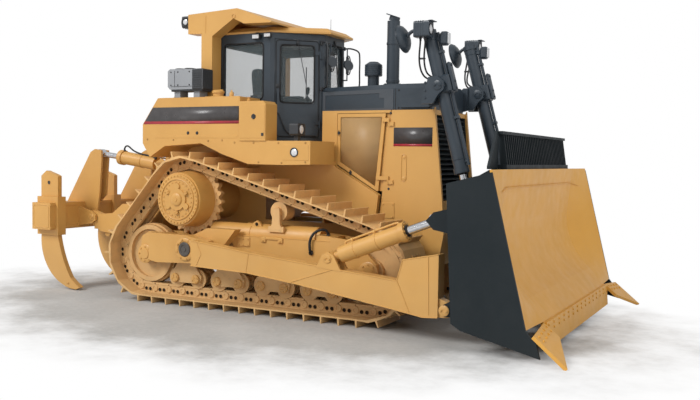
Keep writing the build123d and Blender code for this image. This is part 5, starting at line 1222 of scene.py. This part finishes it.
# ripper: toolbar flanges, shank pins and eyes, bolted tips, pin ends
barLook = {"rear": -3.930, "front": -3.560, "low": 0.890, "high": 1.290, "shanks": (-1.170, 0.0, 1.170),
           "pocketHalf": 0.0775, "shankHalf": 0.0375, "tipHalf": 0.044,
           "pins": ((-3.700, 1.130), (-3.700, 0.960))}
barRear, barFront, barLow, barHigh = (barLook[k] for k in ("rear", "front", "low", "high"))
shankSides = [(y, sign) for y in barLook["shanks"] for sign in (-1, 1)]
flanges = []
for z in (barLow + 0.015, barHigh - 0.045):
    for yLow, yHigh in ((-1.345, -1.250), (-1.090, -0.820), (-0.560, -0.080), (0.080, 0.560), (0.820, 1.090),
                        (1.250, 1.345)):
        flanges.append(box((barRear - 0.004, yLow, z), (barRear + 0.004, yHigh, z + 0.030), 0.003))
        flanges.append(box((barFront - 0.004, yLow, z), (barFront + 0.012, yHigh, z + 0.030), 0.003))
endCaps = together(*[rimTube((barRear + 0.030, sign * 1.349, barLow + 0.030), (0.310, 0.340), 0.030, 0.008)
                     for sign in (-1, 1)])
shankPins = together(*[pinEnd((x, y + sign * barLook["pocketHalf"], z), (0, sign, 0), 0.042, 0.020)
                       for y, sign in shankSides for x, z in barLook["pins"]])
barSeams = together(*[weld([(-3.895, y + sign * 0.079, 1.292), (-3.560, y + sign * 0.079, 1.292)], 0.007)
                      for y, sign in shankSides])
linkPins = pinEnd((-3.300, -0.778, 1.060), right, 0.055)
addPiece("toolbarFittings", together(*flanges, endCaps, shankPins, barSeams, bothSides(linkPins)),
         "bodyPaint", "toolbar")
eyeSpots = [((-3.730, y + sign * barLook["shankHalf"], 1.590), (0, sign, 0)) for y, sign in shankSides]
eyes = together(*[turnedShape([(0.028, -0.001), (0.036, 0.000), (0.036, 0.004), (0.030, 0.005),
                               (0.027, -0.001)], place, axis, 28) for place, axis in eyeSpots])
tipOutline = [(-3.104, 0.044), (-3.180, 0.012), (-3.290, 0.020), (-3.400, 0.046), (-3.385, 0.120),
              (-3.300, 0.168)]
tipHalf = barLook["tipHalf"]
tips = together(*[prism(tipOutline, y - tipHalf, y + tipHalf) for y in barLook["shanks"]])
tipPins = together(*[pinEnd((-3.330, y + sign * tipHalf, 0.095), (0, sign, 0), 0.020, 0.008)
                     for y, sign in shankSides])
addPiece("shankTips", together(tips, tipPins, eyes), "bodyPaint", "toolbar", hardAngle=25)
# dark discs inside the shank eyes: painted shade in the holes
eyeHoleShades = together(*[turnedShape([(0.028, -0.001), (0.028, 0.0012), (0.001, 0.0012)], place, axis, 24)
                      for place, axis in eyeSpots])
addPiece("shankHoleShades", eyeHoleShades, "darkBolt", "toolbar")
print("ripper dressed")


# track frames: lifting eyes, bolted covers, carrier roller feet, a band and a hose at each recoil tube
frameLook = {"face": -1.310, "band": (-0.076, -1.125, 1.008), "eye": (0.057, -1.215, 1.148)}
frameFace, frameEye = frameLook["face"], frameLook["eye"]
eyePlate = prism([(-0.060, 1.085), (0.159, 1.085), (0.104, 1.172), (0.057, 1.197), (0.012, 1.172)], -1.215,
                 -1.180)
eyeRing = turnedShape([(0.024, -0.002), (0.036, -0.001), (0.036, 0.004), (0.028, 0.006), (0.024, 0.002)],
                      frameEye, right, 24)
eyeShade = turnedShape([(0.0245, -0.001), (0.0245, 0.002), (0.001, 0.002)], frameEye, right, 20)
coverPlate = box((-0.170, frameFace - 0.014, 0.860), (0.018, frameFace + 0.002, 0.985), 0.005)
coverSpots = [(x, frameFace - 0.014, z) for x in (-0.145, -0.076, -0.007) for z in (0.885, 0.960)]
coverBolts = boltsAt(coverSpots, 0.010, 0.010, right)
tubeBand = bandRing(0.139, 0.148, 0.055, 0.003, frameLook["band"], forward, 40)
carrierFeet = together(*[box((x, frameFace - 0.022, 0.930), (x + 0.072, frameFace + 0.004, 1.000), 0.008)
                         for x in (0.196, 0.452)],
                       box((0.262, frameFace - 0.016, 0.968), (0.458, frameFace + 0.004, 1.000), 0.006),
                       boltsAt([(x, frameFace - 0.022, 0.955) for x in (0.232, 0.488)], 0.011, 0.012, right))
frameSeam = together(*[weld([(rear, frameFace, z), (front, frameFace, z)], 0.006)
                       for rear, front, z in ((-1.30, -0.84, 0.928), (-0.10, 1.20, 0.998),
                                              (-1.10, 1.10, 0.596))])
frameParts = together(eyePlate, eyeRing, coverPlate, coverBolts, tubeBand, carrierFeet, frameSeam)
addPair("frameFittings", frameParts, "bodyPaint")
addPair("frameEyeShades", eyeShade, "deepShade", slotName="dark_paint")

# the frame hose bends from the recoil tube down to the frame's outer face; its points are control points
frameHose = [(1.130, -1.225, 1.060), (1.130, -1.240, 1.125), (1.065, -1.305, 1.140), (0.985, -1.345, 1.090),
             (0.938, -1.352, 1.000), (0.936, -1.350, 0.910), (0.939, -1.345, 0.860), (0.939, -1.312, 0.842)]
tipHose = [(-2.815, -0.575, 2.092), (-2.812, -0.580, 2.140), (-2.735, -0.592, 2.172), (-2.610, -0.605, 2.084),
           (-2.450, -0.610, 2.038), (-2.300, -0.610, 2.019), (-2.205, -0.610, 2.004)]
hoseSizes = {"frameHose": (frameHose, 0.034, "tractor"), "tipHose": (tipHose, 0.024, "ripper_tip_barrels")}
for hoseName, (route, diameter, body) in hoseSizes.items():
    for sideName, sign in hoseSides:
        addHose(hoseName + "." + sideName, route, sign, diameter, body)
frameEnds = together(turnedShape([(0.026, -0.006), (0.026, 0.012), (0.020, 0.016), (0.017, 0.034)],
                                 frameHose[0], upward, 16),
                     turnedShape([(0.030, -0.004), (0.030, 0.016), (0.022, 0.020), (0.017, 0.034)],
                                 frameHose[-1], right, 18))
addPair("frameHoseEnds", frameEnds, "darkBolt")
tipEnds = together(turnedShape([(0.020, -0.024), (0.020, 0.004), (0.015, 0.010), (0.0125, 0.030)], tipHose[0],
                               upward, 16),
                   turnedShape([(0.012, -0.060), (0.017, -0.056), (0.018, 0.010), (0.001, 0.012)],
                               tipHose[-1], (0.992, 0, -0.127), 16),
                   box((-2.200, -0.632, 1.960), (-2.160, -0.588, 2.012), 0.006))
tipBand = bandRing(0.0975, 0.104, 0.014, 0.002, (-2.450, -0.568, 1.933), (-0.992, 0, 0.127), 36)
addPair("tipHoseEnds", tipEnds, "darkBolt", "ripper_tip_barrels")
addPair("tipBands", tipBand, "bodyPaint", "ripper_tip_barrels")
print("track frames and ripper hoses dressed")


# strips behind the gaps between the engine doors and the guard, and the rear lamps' outer lenses
gapStrip = prism([(1.590, 2.600), (1.662, 2.600), (1.548, 1.600), (1.500, 1.612)], -0.558, -0.545)
addPair("doorGapStrips", gapStrip, "bodyPaint")
outerBezel, outerLens = lampFace((-1.345, -0.960, 3.880), right, 0.046)
addPair("rearLampRings", outerBezel, "trimPlastic")
addPair("rearLampLenses", outerLens, "lampGlass")
print("gap strips and side lenses made")


# floor, sky and lamps

# 1 where the camera looks straight or through glass, 0 for the light that bounces
def seenDirectly(tree):
    path = addNode(tree, "LightPath", {}).outputs
    return mathNode(tree, "MAXIMUM", path["Is Camera Ray"], path["Is Transmission Ray"])


stageLook = {"middle": (-0.2, -0.6), "spread": (6.4, 4.1), "concrete": (0.50, 0.495, 0.48),
             "pale": (0.80, 0.80, 0.80)}


# a wide plane; the concrete tone fades to white with distance from the machine, as (x / a)^2 + (y / b)^2
# grows, and where it has faded the camera sees plain white
def buildFloor(look):
    size = 60.0
    mesh = bpy.data.meshes.new("studioFloor")
    corners = [(-size, -size, -0.001), (size, -size, -0.001), (size, size, -0.001), (-size, size, -0.001)]
    mesh.from_pydata(corners, [], [(0, 1, 2, 3)])
    floor = bpy.data.objects.new("studioFloor", mesh)
    bpy.context.scene.collection.objects.link(floor)
    material, tree, shader = newMaterial("studioConcrete")
    point = objectPoint(tree)
    broad = noise(tree, point, 0.9, 6, 0.65)
    fine = noise(tree, point, 14.0, 6, 0.7)
    grit = mathNode(tree, "ADD", mathNode(tree, "MULTIPLY", broad, 0.6),
                    mathNode(tree, "MULTIPLY", fine, 0.4))
    darker = tuple(c * 0.80 for c in look["concrete"])
    tone = mixColour(tree, remap(tree, grit, 0.36, 0.62), darker, look["concrete"])
    squares = []
    for axis, middle, spread in zip(("X", "Y"), look["middle"], look["spread"]):
        away = mathNode(tree, "DIVIDE", mathNode(tree, "SUBTRACT", axesOf(tree, point)[axis], middle), spread)
        squares.append(mathNode(tree, "MULTIPLY", away, away))
    reach = mathNode(tree, "SQRT", mathNode(tree, "ADD", *squares))
    reach = mathNode(tree, "ADD", reach, remap(tree, broad, 0.3, 0.7, -0.10, 0.10))
    fade = remap(tree, reach, 0.55, 1.0)
    fade.node.interpolation_type = "SMOOTHSTEP"
    feed(tree, shader, {"Base Color": mixColour(tree, fade, tone, look["pale"]), "Roughness": 0.9,
                        "Specular IOR Level": 0.1})
    bump(tree, shader, fine, 0.3, 0.01)
    white = addNode(tree, "Emission", {"Color": (1, 1, 1), "Strength": 1.0}).outputs["Emission"]
    faded = mathNode(tree, "MULTIPLY", seenDirectly(tree), fade)
    mix = addNode(tree, "MixShader", {0: faded, 1: shader.outputs["BSDF"], 2: white})
    output = next(n for n in tree.nodes if n.type == "OUTPUT_MATERIAL")
    feed(tree, output, {"Surface": mix.outputs["Shader"]})
    mesh.materials.append(material)
    floor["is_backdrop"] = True


buildFloor(stageLook)
lightLook = {"sky": 0.62, "suns": {"key": (2.1, (52, 0, -28), 24), "fill": (0.5, (62, 0, 62), 60)}}


# a white sky that lights softly, one large key from above the camera and a weak fill from the front; each sun
# has its strength, its turn and its angle in degrees
def buildLight(look):
    world = bpy.data.worlds.new("studioSky")
    bpy.context.scene.world = world
    world.use_nodes = True
    tree = world.node_tree
    tree.nodes.clear()
    soft, shown = (addNode(tree, "Background", {"Color": (1, 1, 1), "Strength": strength}).outputs[0]
                   for strength in (look["sky"], 1.0))
    mix = addNode(tree, "MixShader", {0: seenDirectly(tree), 1: soft, 2: shown})
    addNode(tree, "OutputWorld", {"Surface": mix.outputs[0]})
    for name, (strength, turn, size) in look["suns"].items():
        lamp = bpy.data.lights.new(name, "SUN")
        lamp.energy = strength
        lamp.angle = math.radians(size)
        holder = bpy.data.objects.new(name, lamp)
        holder.rotation_euler = [math.radians(a) for a in turn]
        bpy.context.scene.collection.objects.link(holder)


buildLight(lightLook)
print("stage set")

low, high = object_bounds()
